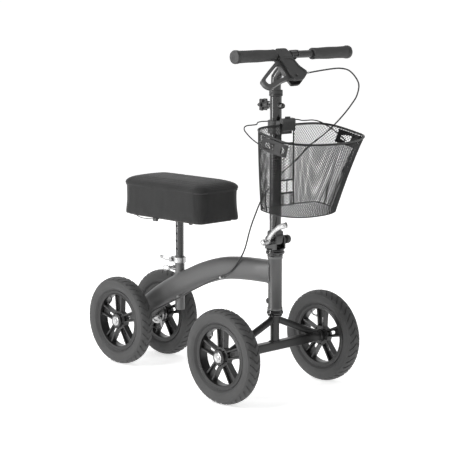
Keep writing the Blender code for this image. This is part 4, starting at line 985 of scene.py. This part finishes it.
def make_cable():
    per_leg = 7
    fine = smooth_path(ROUTE, per_leg)
    for name, first, final in CABLE_LEGS:
        run = fine[first * per_leg:final * per_leg + 1]
        body = None if name != "cable_frame" else "frame"
        obj = sweep(name + "_sheath", run, oval(0.0025, 0.0025, 16), (0.3, 0.2, 1), CABLE, body, (name,),
            smooth=50)
        if name == "cable_bar":
            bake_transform(obj)
        elif name == "cable_tiller":
            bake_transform(obj)
        elif name == "cable_steer":
            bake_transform(obj)
    lathe("cable_barrel", [(0, 0.0), (0.0042, 0.0), (0.0045, 0.0004), (0.0045, 0.0036), (0.0041, 0.004),
        (0.0045, 0.0044), (0.0045, 0.0078), (0.0036, 0.0088), (0.0034, 0.014), (0.004, 0.0146),
        (0.004, 0.0178), (0.0032, 0.0182), (0, 0.0182)], EXIT_DIR, ADJUST, STEEL, "handlebar",
        ("barrel_adjuster",), steps=36)
    end = Vector(ROUTE[-1])
    along = (end - fine[-2]).normalized()
    lathe("cable_end_ferrule", [(0.0025, -0.012), (0.0036, -0.0115), (0.0036, 0.0), (0.003, 0.0012),
        (0, 0.0012)], along, end, STEEL, "frame", steps=24)
    lathe("cable_inner_wire", rod_outline(0.0008, 0.0, 0.0125, 0.0002), along, end, STEEL, "frame",
        steps=12)


# ---------------------------------------------------------------- rear brake
ARM_PIVOT = Vector((0.0585, REAR_Y - 0.026, AXLE_Z - 0.01))


def make_rear_brake():
    centre = (0, REAR_Y, AXLE_Z)
    lathe("brake_drum_cup", [(0.0075, 0.0813), (0.0322, 0.0813), (0.033, 0.0806), (0.033, 0.066),
        (0.03, 0.066), (0.03, 0.0785), (0.0075, 0.0785)], SIDE, centre, STEEL, "wheel_rear_left",
        ("brake_drum",), steps=72)
    cover = lathe("brake_cover_plate", [(0.0066, 0.061), (0.012, 0.061), (0.0135, 0.0618), (0.026, 0.0618),
        (0.028, 0.061), (0.034, 0.061), (0.0358, 0.0616), (0.037, 0.0635), (0.037, 0.079), (0.0345, 0.079),
        (0.0345, 0.064), (0.0066, 0.064)], SIDE, centre, STEEL, "frame", ("brake_cover",), steps=72)
    subtract(cover, [lathe_data(rod_outline(0.0033, 0.05, 0.07, 0.0001), SIDE,
        (0, ARM_PIVOT.y, ARM_PIVOT.z), 24)])
    arm = prism("brake_arm_plate", rounded([(-0.0065, 0.007), (-0.007, -0.004), (-0.0048, -0.034),
        (0.0048, -0.034), (0.007, -0.004), (0.0065, 0.007)], 2, 0.2), 0.0012, ARM_PIVOT, BACK, (0, 0.25, 1),
        STEEL, "brake_arm", ("brake_arm",))
    subtract(arm, [lathe_data(rod_outline(0.003, -0.0022, 0.007, 0.0004), SIDE, ARM_PIVOT, 24)], "UNION")
    coil = []
    for k in range(0, 73):
        a = math.tau * k / 12
        coil.append((ARM_PIVOT.x - 0.0048 + 0.004 * k / 72 - 0.0018, ARM_PIVOT.y + 0.0058 * math.cos(a),
            ARM_PIVOT.z + 0.0058 * math.sin(a)))
    sweep("brake_return_spring", coil, oval(0.00045, 0.00045, 8), SIDE, STEEL, "frame")
    lathe("brake_arm_nut", [(0.0, 0.0), (0.0042, 0.0), (0.0044, 0.0004), (0.0044, 0.0016), (0.0036, 0.0022),
        (0, 0.0022)], (-1, 0, 0), (ARM_PIVOT.x - 0.0012, ARM_PIVOT.y, ARM_PIVOT.z), STEEL, "brake_arm",
        steps=24)
    lathe("cable_anchor", [(0.0, -0.0016), (0.0034, -0.0016), (0.0038, -0.0012), (0.0038, 0.0034),
        (0, 0.0034)], SIDE, (ARM_PIVOT.x, ARM_PIVOT.y - 0.0068, ARM_PIVOT.z - 0.029), STEEL, "brake_arm",
        steps=24)


# ---------------------------------------------------------------- basket
RIM = {"half": 0.178, "back": -0.3145, "front": -0.537, "z": 0.8735, "fall": 0.2, "pb": 4.4, "pf": 1.95,
    "split": 0.7}
FLOOR = {"half": 0.134, "back": -0.3145, "front": -0.458, "z": 0.618, "fall": 0.15, "pb": 6.0, "pf": 2.4,
    "split": 0.35}
MESH_PITCH = 0.0108
STRAND = 0.0024
FLOOR_STRAND = 0.0026
FLOOR_FLATTEN = 0.35


def basket_point(level, turn, inset=0.0):
    """A point of the outline at a height from 0 (floor) to 1 (rim); turn goes once round from 0 to tau."""
    mixed = {key: FLOOR[key] + (RIM[key] - FLOOR[key]) * level for key in RIM}
    back, front = mixed["back"] - inset, mixed["front"] + inset
    half = mixed["half"] - inset
    middle = back + mixed["split"] * (front - back)
    c, s = math.cos(turn), math.sin(turn)
    power, depth = (mixed["pf"], middle - front) if s > 0 else (mixed["pb"], back - middle)
    x = half * math.copysign(abs(c) ** (2 / power), c)
    y = middle - depth * math.copysign(abs(s) ** (2 / power), s)
    return Vector((x, y, mixed["z"] - mixed["fall"] * (mixed["back"] - y)))


def even_turns(level, count, fine=1440):
    """Turns that space an outline's points evenly along it, starting at the middle of the back."""
    start = -math.pi / 2
    turns = [start + math.tau * k / fine for k in range(fine + 1)]
    points = [basket_point(level, t) for t in turns]
    run = [0.0]
    for a, b in zip(points, points[1:]):
        run.append(run[-1] + (b - a).length)
    wanted = np.linspace(0, run[-1], count + 1)[:-1]
    return list(np.interp(wanted, run, turns))


def in_window(p):
    """The openings in the basket's back, behind the bracket and between its two cross bars."""
    if p.y < -0.32 or abs(p.x) > 0.0285:
        return False
    return p.z > 0.816 or 0.658 < p.z < 0.6965


def make_basket():
    around = 2 * round(1.09 / MESH_PITCH / 2)
    rows = 2 * round(0.255 / MESH_PITCH)
    turns_floor, turns_rim = even_turns(0.0, 2 * around), even_turns(1.0, 2 * around)
    grid = {}
    verts, faces = [], []

    def place(i, j):
        i %= 2 * around
        if (i, j) not in grid:
            level = 0.985 * j / rows
            turn = turns_floor[i] + (turns_rim[i] - turns_floor[i]) * level
            grid[(i, j)] = len(verts)
            verts.append(basket_point(level, turn, 0.0011))
        return grid[(i, j)]

    for j in range(-1, rows):
        for i in range(j % 2, 2 * around, 2):
            corners = [(i, max(j, 0)), (i + 1, j + 1), (i, min(j + 2, rows)), (i - 1, j + 1)]
            if j == -1:
                corners = [(i + 1, 0), (i, 1), (i - 1, 0)]
            if j == rows - 1:
                corners = [(i, j), (i + 1, rows), (i - 1, rows)]
            ids = [place(*c) for c in corners]
            middle = sum((verts[k] for k in ids), Vector()) / len(ids)
            if in_window(middle):
                continue
            faces.append(ids)
    wall = piece("basket_mesh", verts, faces, WIRE, None)
    strands(wall, STRAND)
    finish_piece(wall, "basket", ("basket_shell",), smooth=60)
    make_basket_floor()
    bars_and_plates()


def strands(obj, thickness):
    """Turn every edge of a sheet of diamonds into a thin strand."""
    mod = obj.modifiers.new("strands", "WIREFRAME")
    mod.thickness = thickness
    mod.use_even_offset = False
    mod.use_relative_offset = False
    mod.use_replace = True
    mod.use_boundary = True
    graph = bpy.context.evaluated_depsgraph_get()
    result = bpy.data.meshes.new_from_object(obj.evaluated_get(graph))
    obj.modifiers.remove(mod)
    obj.data = result


def make_basket_floor():
    outline = [basket_point(0.0, t, 0.0015) for t in even_turns(0.0, 160)]
    flat = [(p.x, p.y) for p in outline]
    slope = FLOOR["fall"]

    def inside(x, y):
        hit = False
        for (x0, y0), (x1, y1) in zip(flat, flat[1:] + flat[:1]):
            if (y0 > y) != (y1 > y) and x < x0 + (y - y0) / (y1 - y0) * (x1 - x0):
                hit = not hit
        return hit

    def snapped(x, y):
        if not inside(x, y):
            x, y = min(flat, key=lambda q: (q[0] - x) ** 2 + (q[1] - y) ** 2)
        return Vector((x, y, FLOOR["z"] + 0.001 - slope * (FLOOR["back"] - y)))

    half = MESH_PITCH / 2
    verts, ids, faces = [], {}, []
    columns, lines = int(0.29 / half), int(0.17 / half)
    for j in range(lines):
        for i in range(j % 2, columns, 2):
            corners = [(i, j - 1), (i + 1, j), (i, j + 1), (i - 1, j)]
            spots = [(-0.145 + a * half, -0.3 - b * half) for a, b in corners]
            if sum(inside(*spot) for spot in spots) < 2:
                continue
            face = []
            for key, spot in zip(corners, spots):
                if key not in ids:
                    ids[key] = len(verts)
                    verts.append(snapped(*spot))
                face.append(ids[key])
            faces.append(face)
    floor = piece("basket_floor_mesh", verts, faces, WIRE, None)
    strands(floor, FLOOR_STRAND)
    for vertex in floor.data.vertices:
        level = FLOOR["z"] + 0.001 - slope * (FLOOR["back"] - vertex.co.y)
        vertex.co.z = level + (vertex.co.z - level) * FLOOR_FLATTEN
    finish_piece(floor, "basket", smooth=60)


def surface_strip(name, level_low, level_high, turn_low, turn_high, hole, thick=0.0011):
    """A solid plate pressed onto the basket's wall, with an oval hole."""
    count_u, count_v = 26, 20
    verts, faces = [], []
    for side in (0.0002, 0.0002 + thick):
        for j in range(count_v + 1):
            for i in range(count_u + 1):
                level = level_low + (level_high - level_low) * j / count_v
                turn = turn_low + (turn_high - turn_low) * i / count_u
                verts.append(basket_point(level, turn, -side * 0.5))
    size = (count_u + 1) * (count_v + 1)
    keep = {}
    for j in range(count_v):
        for i in range(count_u):
            u = (i + 0.5) / count_u * 2 - 1
            v = (j + 0.5) / count_v * 2 - 1
            keep[(i, j)] = hole is None or not hole(u, v)
    for (i, j), kept in keep.items():
        if not kept:
            continue
        a = j * (count_u + 1) + i
        quad = [a, a + 1, a + count_u + 2, a + count_u + 1]
        faces.append(quad)
        faces.append([size + k for k in reversed(quad)])
        for (di, dj), (p, q) in (((0, -1), (0, 1)), ((1, 0), (1, 2)), ((0, 1), (2, 3)), ((-1, 0), (3, 0))):
            if not keep.get((i + di, j + dj), False):
                faces.append([quad[q], quad[p], size + quad[p], size + quad[q]])
    return piece(name, verts, faces, WIRE, "basket", smooth=40)


def wall_point(x, z):
    """A point on the flat back wall at a given width and height."""
    return Vector((x, FLOOR["back"] - 0.0011, z))


def bars_and_plates():
    rim = [basket_point(1.0, t, 0.001) + Vector((0, 0, 0.0005)) for t in even_turns(1.0, 140)]
    sweep("basket_rim_wire", rim, oval(0.0029, 0.0029, 16), UP, WIRE, "basket", ("basket_rim",),
        closed=True, smooth=50)
    low = [basket_point(0.004, t, 0.0012) for t in even_turns(0.0, 130)]
    sweep("basket_floor_wire", low, oval(0.0016, 0.0019, 12), UP, WIRE, "basket", closed=True, smooth=50)
    for side_tag, sign in (("left", 1), ("right", -1)):
        upright = [wall_point(sign * 0.0295, z) for z in np.linspace(0.62, 0.864, 24)]
        sweep("basket_upright_" + side_tag, upright, oval(0.0024, 0.0016, 14, 2.6), SIDE, WIRE, "basket",
            smooth=50)
    for tag, z in (("upper", 0.816), ("middle", 0.698), ("lower", 0.657)):
        bar = [wall_point(x, z) for x in np.linspace(-0.0295, 0.0295, 9)]
        sweep("basket_cross_" + tag, bar, oval(0.003 if tag != "upper" else 0.0018, 0.0012, 14, 3.0), UP,
            WIRE, "basket", smooth=50)
    post = [wall_point(0, z) for z in np.linspace(0.657, 0.698, 6)]
    sweep("basket_window_post", post, oval(0.002, 0.001, 12, 3.0), SIDE, WIRE, "basket", smooth=50)

    def oval_hole(u, v):
        return (u * 1.55) ** 2 + ((v + 0.05) * 1.9) ** 2 < 1 and abs(u) > 0.1

    surface_strip("basket_side_plate_left", 0.8, 0.975, -0.3, 0.3, oval_hole)
    surface_strip("basket_side_plate_right", 0.8, 0.975, math.pi - 0.3, math.pi + 0.3, oval_hole)
    saddle = [(-0.31, 0.89), (-0.31, 0.856), (-0.3112, 0.856), (-0.3112, 0.879), (-0.32, 0.879),
        (-0.32, 0.854), (-0.3245, 0.856), (-0.326, 0.886), (-0.3235, 0.8935), (-0.312, 0.895)]
    block = prism("basket_bracket_front", saddle, 0.028, (0, 0, 0), BACK, UP, PLASTIC, "basket",
        ("basket_saddle",))
    subtract(block, [prism_data(rounded(rectangle(-0.01, -0.322, 0.01, -0.3125), 2, 0.2), 0.005,
        (0, 0, 0.895), SIDE, BACK)], "UNION")
    ribs = [prism_data([(x, 0.86), (x + 0.0085, 0.86), (x + 0.0085, 0.883), (x, 0.883)], 0.0012,
        (0, -0.3262, 0), SIDE, UP) for x in (-0.023, -0.011, 0.0025, 0.0145)]
    subtract(block, ribs)
    soften(block, 0.0009, 2, 45)
    band = tube("basket_bracket_band", 0.0258, 0.0196, (0, STEM_Y, 0.844), (0, STEM_Y, 0.886), PLASTIC,
        "tiller", ("basket_clamp",), edge=0.0012, steps=72)
    ear = prism_data([(-0.028, -0.3096), (0.028, -0.3096), (0.028, -0.296), (0.0215, -0.286),
        (-0.0215, -0.286), (-0.028, -0.296)], 0.021, (0, 0, 0.865), SIDE, BACK)
    subtract(band, [ear], "UNION")
    subtract(band, [lathe_data(rod_outline(0.0193, 0.8, 0.9, 0.0001), UP, (0, STEM_Y, 0), 72),
        prism_data(rectangle(-0.04, 0.8636, 0.04, 0.8644), 0.0006, (0, STEM_Y + 0.0258, 0), SIDE, UP)])
    soften(band, 0.0009, 2, 45)
    for tag, sign in (("left", 1), ("right", -1)):
        lathe("bracket_screw_" + tag, [(0, 0), (0.0036, 0), (0.0038, 0.0004), (0.0034, 0.0014),
            (0.0022, 0.002), (0, 0.0022)], BACK, (sign * 0.0242, -0.2965, 0.865), STEEL, "tiller", steps=28)
    half = [(0.1722, -0.4, 0.816), (0.179, -0.4, 0.8165), (0.1845, -0.393, 0.82), (0.1865, -0.374, 0.8305),
        (0.188, -0.352, 0.8415), (0.186, -0.33, 0.8535), (0.179, -0.306, 0.8665), (0.166, -0.292, 0.8745),
        (0.148, -0.285, 0.878), (0.126, -0.284, 0.8785), (0.105, -0.283, 0.879), (0.085, -0.269, 0.883),
        (0.045, -0.244, 0.882)]
    route = [(-x, y, z) for x, y, z in half] + [(0, -0.232, 0.88)] + half[::-1]
    sweep("bail_wire", smooth_path(route, 9), oval(0.002, 0.002, 14), (0, 0.2, 1), WIRE, "bail", ("bail",),
        smooth=50)


# ---------------------------------------------------------------- knee rest
CUSHION_HALF = 0.0975
CUSHION_Y0, CUSHION_Y1 = -0.0155, 0.3845
TOP_Z = 0.664
SWELL_LIMIT = 0.0022


def rounded_rectangle(half_x, y0, y1, radius, per_corner=14, per_side=40, per_end=20):
    """Evenly stepped outline of a rectangle with rounded corners, from the middle of the +X side."""
    ring = []
    corners = ((1, 1, 0.0), (-1, 1, 0.5), (-1, -1, 1.0), (1, -1, 1.5))
    for n, (qx, qy, turn) in enumerate(corners):
        cx = qx * (half_x - radius)
        cy = (y1 - radius) if qy > 0 else (y0 + radius)
        for k in range(per_corner):
            a = math.pi * (turn + 0.5 * k / per_corner)
            ring.append(Vector((cx + radius * math.cos(a), cy + radius * math.sin(a), 0)))
        nx, ny, nturn = corners[(n + 1) % 4]
        end = Vector((nx * (half_x - radius) + radius * math.cos(math.pi * nturn),
            ((y1 - radius) if ny > 0 else (y0 + radius)) + radius * math.sin(math.pi * nturn), 0))
        a = math.pi * (turn + 0.5)
        start = Vector((cx + radius * math.cos(a), cy + radius * math.sin(a), 0))
        steps = per_side if n % 2 else per_end
        for k in range(steps):
            ring.append(start + (end - start) * (k / steps))
    return ring


def crown_unevenness(x, y):
    return noise.noise(Vector((x * 11 + 3, y * 11, 4.0))) * 0.0009


def cushion_body():
    """The fitted cover over its foam block: crowned top, welt, slightly hollow sides and a gathered hem."""
    levels = [(0.012, 0.5302), (0.0035, 0.5302), (0.0012, 0.5318), (0.0, 0.537), (0.0006, 0.548),
        (0.0016, 0.562), (0.0024, 0.576), (0.0028, 0.59), (0.0029, 0.604), (0.0028, 0.616), (0.0027, 0.624),
        (0.003, 0.629), (0.0016, 0.6325), (0.0, 0.636), (-0.0006, 0.64), (0.0004, 0.644), (0.0028, 0.648),
        (0.007, 0.652), (0.013, 0.6555), (0.02, 0.6582), (0.03, 0.6606), (0.042, 0.6624), (0.056, 0.6634),
        (0.072, 0.664)]
    verts, faces = [], []
    rings = []
    for inset, z in levels:
        half = CUSHION_HALF - inset
        radius = max(0.034 - inset * 0.35, 0.008)
        ring = rounded_rectangle(half, CUSHION_Y0 + inset, CUSHION_Y1 - inset, min(radius, half * 0.95))
        rings.append([Vector((p.x, p.y, z)) for p in ring])
    size = len(rings[0])
    run = [0.0]
    for a, b in zip(rings[6], rings[6][1:]):
        run.append(run[-1] + (b - a).length)
    rng = np.random.default_rng(7)
    folds = [(float(rng.uniform(0, run[-1])), float(rng.uniform(0.01, 0.028)),
        float(rng.uniform(0.4, 1.0))) for _ in range(34)]
    for k, ring in enumerate(rings):
        z = levels[k][1]
        low = min(max((0.575 - z) / 0.045, 0.0), 1.0) ** 1.5
        side = min(max((0.632 - z) / 0.01, 0.0), 1.0)
        for i, p in enumerate(ring):
            centre = Vector((0, min(max(p.y, 0.06), 0.31), z))
            out = p - centre
            out.z = 0
            out = out.normalized() if out.length > 1e-6 else Vector((0, 0, 0))
            s = run[i]
            ripple = 0.0
            for place, width, height in folds:
                gap = abs((s - place + run[-1] / 2) % run[-1] - run[-1] / 2)
                if gap < width * 2:
                    ripple += height * math.exp(-(gap / width * 1.9) ** 2)
            fine = math.sin(s * 330) * 0.5 + math.sin(s * 211 + 1.3) * 0.5
            push = low * (-0.0016 * ripple + 0.0009 * fine) - 0.001 * (1 - low) * side * ripple * 0.5
            noise_push = (noise.noise(Vector((p.x * 16, p.y * 16, z * 22))) * 0.001) * (0.4 + 0.6 * side)
            lift = crown_unevenness(p.x, p.y) if z > 0.645 else 0.0
            scallop = 0.0014 * math.sin(s * 150 + 0.5 * math.sin(s * 31)) * min(max((0.545 - z) / 0.012,
                0.0), 1.0)
            verts.append(p + out * (push + noise_push) + Vector((0, 0, lift + max(scallop, -0.0006))))
    for k in range(len(rings) - 1):
        for i in range(size):
            j = (i + 1) % size
            faces.append((k * size + i, k * size + j, (k + 1) * size + j, (k + 1) * size + i))
    top_start = (len(rings) - 1) * size
    inner = [verts[top_start + i].copy() for i in range(size)]
    spine_count = 10
    last = list(range(top_start, top_start + size))
    for step in range(1, spine_count):
        share = step / spine_count
        here = []
        for i in range(size):
            p = inner[i]
            target = Vector((0, min(max(p.y, CUSHION_Y0 + 0.0975), CUSHION_Y1 - 0.0975), p.z))
            q = p + (target - p) * share
            here.append(len(verts))
            verts.append(Vector((q.x, q.y, TOP_Z + crown_unevenness(q.x, q.y))))
        for i in range(size):
            j = (i + 1) % size
            faces.append((last[i], last[j], here[j], here[i]))
        last = here
    final = []
    for i in range(size):
        p = inner[i]
        y = min(max(p.y, CUSHION_Y0 + 0.0975), CUSHION_Y1 - 0.0975)
        final.append(len(verts))
        verts.append(Vector((0, y, TOP_Z + crown_unevenness(0, y))))
    for i in range(size):
        j = (i + 1) % size
        faces.append((last[i], last[j], final[j], final[i]))
    return verts, faces


def make_cushion():
    verts, faces = cushion_body()
    pad = piece("knee_pad_cover", verts, faces, CLOTH, None, smooth=180)
    swell(pad)
    mod = pad.modifiers.new("smooth", "SUBSURF")
    mod.levels = mod.render_levels = 1
    finish_piece(pad, "seat", ("seat_cushion",), smooth=180)
    welt = []
    ring = rounded_rectangle(CUSHION_HALF - 0.003, CUSHION_Y0 + 0.003, CUSHION_Y1 - 0.003, 0.033)
    for p in ring:
        welt.append(Vector((p.x, p.y, 0.6303)))
    sweep("knee_pad_seam", welt, oval(0.0011, 0.0011, 8), UP, CORD, "seat", closed=True, smooth=60)


def swell(pad):
    """Let the cover relax over its foam for a few frames, keeping every point within SWELL_LIMIT."""
    rest = np.array([v.co for v in pad.data.vertices])
    group = pad.vertex_groups.new(name="hem")
    group.add([i for i, v in enumerate(pad.data.vertices) if v.co.z < 0.5345], 1.0, "REPLACE")
    mod = pad.modifiers.new("cloth", "CLOTH")
    mod.settings.quality = 6
    mod.settings.mass = 0.25
    mod.settings.tension_stiffness = 25
    mod.settings.compression_stiffness = 25
    mod.settings.bending_stiffness = 0.8
    mod.settings.use_pressure = True
    mod.settings.uniform_pressure_force = 2.0
    mod.settings.vertex_group_mass = "hem"
    mod.settings.effector_weights.gravity = 0.0
    mod.collision_settings.use_collision = False
    mod.point_cache.frame_start, mod.point_cache.frame_end = 1, 14
    scene = bpy.context.scene
    for frame_number in range(1, 15):
        scene.frame_set(frame_number)
    graph = bpy.context.evaluated_depsgraph_get()
    moved = np.array([v.co for v in pad.evaluated_get(graph).data.vertices])
    pad.modifiers.remove(mod)
    scene.frame_set(1)
    step = moved - rest
    length = np.linalg.norm(step, axis=1, keepdims=True)
    step *= np.minimum(1.0, SWELL_LIMIT / np.maximum(length, 1e-9))
    for vertex, co in zip(pad.data.vertices, rest + step):
        vertex.co = co
    pad.vertex_groups.clear()


def make_seat_fixings():
    prism("knee_pad_board", rounded(rectangle(-0.0778, 0.0085, 0.0778, 0.3605), 2, 0.06), 0.006,
        (0, 0, 0.5312), SIDE, BACK, WOOD, "seat", ("seat_board",), bevel=0.0008)
    prism("seat_plate", rounded(rectangle(-0.055, 0.078, 0.055, 0.278), 2, 0.06), 0.002, (0, 0, 0.5228),
        SIDE, BACK, GLOSS, "seat", ("seat_bracket",), bevel=0.0007)
    weld_bead("seat_plate_weld", ring_at((0, SEAT_Y, 0.52), UP, 0.0146, 14), 0.002, GLOSS, "seat")
    for k, (x, y) in enumerate(((-0.04, 0.093), (0.04, 0.093), (-0.04, 0.263), (0.04, 0.263))):
        head = [(0, 0.0), (0.0034, 0.0), (0.0062, 0.001), (0.0068, 0.003), (0.0068, 0.0062),
            (0.008, 0.0064), (0.008, 0.0076), (0, 0.0076)]
        lathe("seat_bolt_%d" % k, head, UP, (x, y, 0.5132), WIRE, "seat", steps=32)
    cord = [(-0.084, 0.322, 0.528), (-0.088, 0.308, 0.5258), (-0.091, 0.29, 0.5232),
        (-0.092, 0.268, 0.5222), (-0.091, 0.246, 0.5232), (-0.09, 0.2265, 0.5245)]
    sweep("drawcord_loop", smooth_path(cord, 8), oval(0.0014, 0.0014, 12), UP, CORD, "seat", ("drawcord",),
        smooth=50)
    prism("cord_toggle", rounded(rectangle(-0.0958, 0.205, -0.0842, 0.2258), 2, 0.22), 0.0056,
        (0, 0, 0.5238), SIDE, BACK, PLASTIC, "seat", ("cord_lock",), bevel=0.0012)


# ---------------------------------------------------------------- setting
HALL = 400.0
LAMPS = (("key", (-2.8, 0.2, 3.4), 1.8, 1.8, 70, 0.5), ("fill", (2.8, -3.0, 2.0), 2.5, 2.5, 14, 0.5),
    ("rear", (0.8, 3.2, 2.8), 2.4, 2.4, 30, 0.5), ("strip", (-3.0, 1.2, 1.0), 0.5, 2.4, 55, 1.0))
CAMERA_PLACE = (-3.70085, -3.90318, 1.3386)
CAMERA_AIM = (0.0643, 0.036, 0.5081)
CAMERA_LENS = 130.78
WORLD_NEAR = 0.22
FLOOR_GLOW = 0.6


def make_stage():
    floor_mat, tree, out = shader_nodes("floor_paper")
    coords = node(tree, "ShaderNodeTexCoord")
    patchy = node(tree, "ShaderNodeTexNoise", Scale=1.5, Detail=2.0)
    tree.links.new(coords.outputs["Object"], patchy.inputs["Vector"])
    colour = ramp(tree, patchy.outputs["Fac"], [(0.0, grey(0.93)), (1.0, grey(0.95))])
    tree.links.new(colour, out.inputs["Base Color"])
    out.inputs["Roughness"].default_value = 0.9
    out.inputs["Specular IOR Level"].default_value = 0.1
    out.inputs["Emission Color"].default_value = (1, 1, 1, 1)
    out.inputs["Emission Strength"].default_value = FLOOR_GLOW
    mesh = bpy.data.meshes.new("floor")
    mesh.from_pydata([(-HALL, -HALL, -0.0003), (HALL, -HALL, -0.0003), (HALL, HALL, -0.0003),
        (-HALL, HALL, -0.0003)], [], [(0, 1, 2, 3)])
    mesh.materials.append(floor_mat)
    floor = bpy.data.objects.new("floor", mesh)
    bpy.context.scene.collection.objects.link(floor)
    world = bpy.data.worlds.new("studio")
    bpy.context.scene.world = world
    world.use_nodes = True
    tree = world.node_tree
    toward = node(tree, "ShaderNodeVectorMath", operation="DOT_PRODUCT")
    toward.inputs[1].default_value = (0.69, 0.72, 0.0)
    coords = node(tree, "ShaderNodeTexCoord")
    tree.links.new(coords.outputs["Generated"], toward.inputs[0])
    spread = node(tree, "ShaderNodeMapRange")
    spread.inputs["From Min"].default_value, spread.inputs["From Max"].default_value = -1.0, 1.0
    tree.links.new(toward.outputs["Value"], spread.inputs["Value"])
    shade = ramp(tree, spread.outputs["Result"], [(0.0, grey(WORLD_NEAR)), (0.62, grey(WORLD_NEAR + 0.15)),
        (0.86, grey(1.0))])
    tree.links.new(shade, tree.nodes["Background"].inputs["Color"])
    tree.nodes["Background"].inputs["Strength"].default_value = 1.0
    bpy.context.scene.view_settings.view_transform = "Standard"
    for lamp in LAMPS:
        add_lamp(*lamp)


def add_lamp(name, place, width, height, power, aim_z):
    light = bpy.data.lights.new(name, "AREA")
    light.shape, light.size, light.size_y, light.energy = "RECTANGLE", width, height, power
    lamp = bpy.data.objects.new(name, light)
    bpy.context.scene.collection.objects.link(lamp)
    lamp.location = place
    lamp.rotation_euler = (Vector((0, 0, aim_z)) - Vector(place)).to_track_quat("-Z", "Y").to_euler()


def make_camera():
    camera = bpy.data.cameras.new("camera")
    camera.lens, camera.sensor_width = CAMERA_LENS, 36
    camera.clip_end = 1000
    holder = bpy.data.objects.new("camera", camera)
    bpy.context.scene.collection.objects.link(holder)
    holder.location = CAMERA_PLACE
    holder.rotation_euler = (Vector(CAMERA_AIM) - holder.location).to_track_quat("-Z", "Y").to_euler()
    bpy.context.scene.camera = holder


make_camera()
make_wheels()
make_axles()
make_frame()
make_fork()
make_seat_support()
make_fold_joint()
make_tiller()
make_grips()
make_brake_set()
make_cable()
make_rear_brake()
make_basket()
make_cushion()
make_seat_fixings()
make_stage()
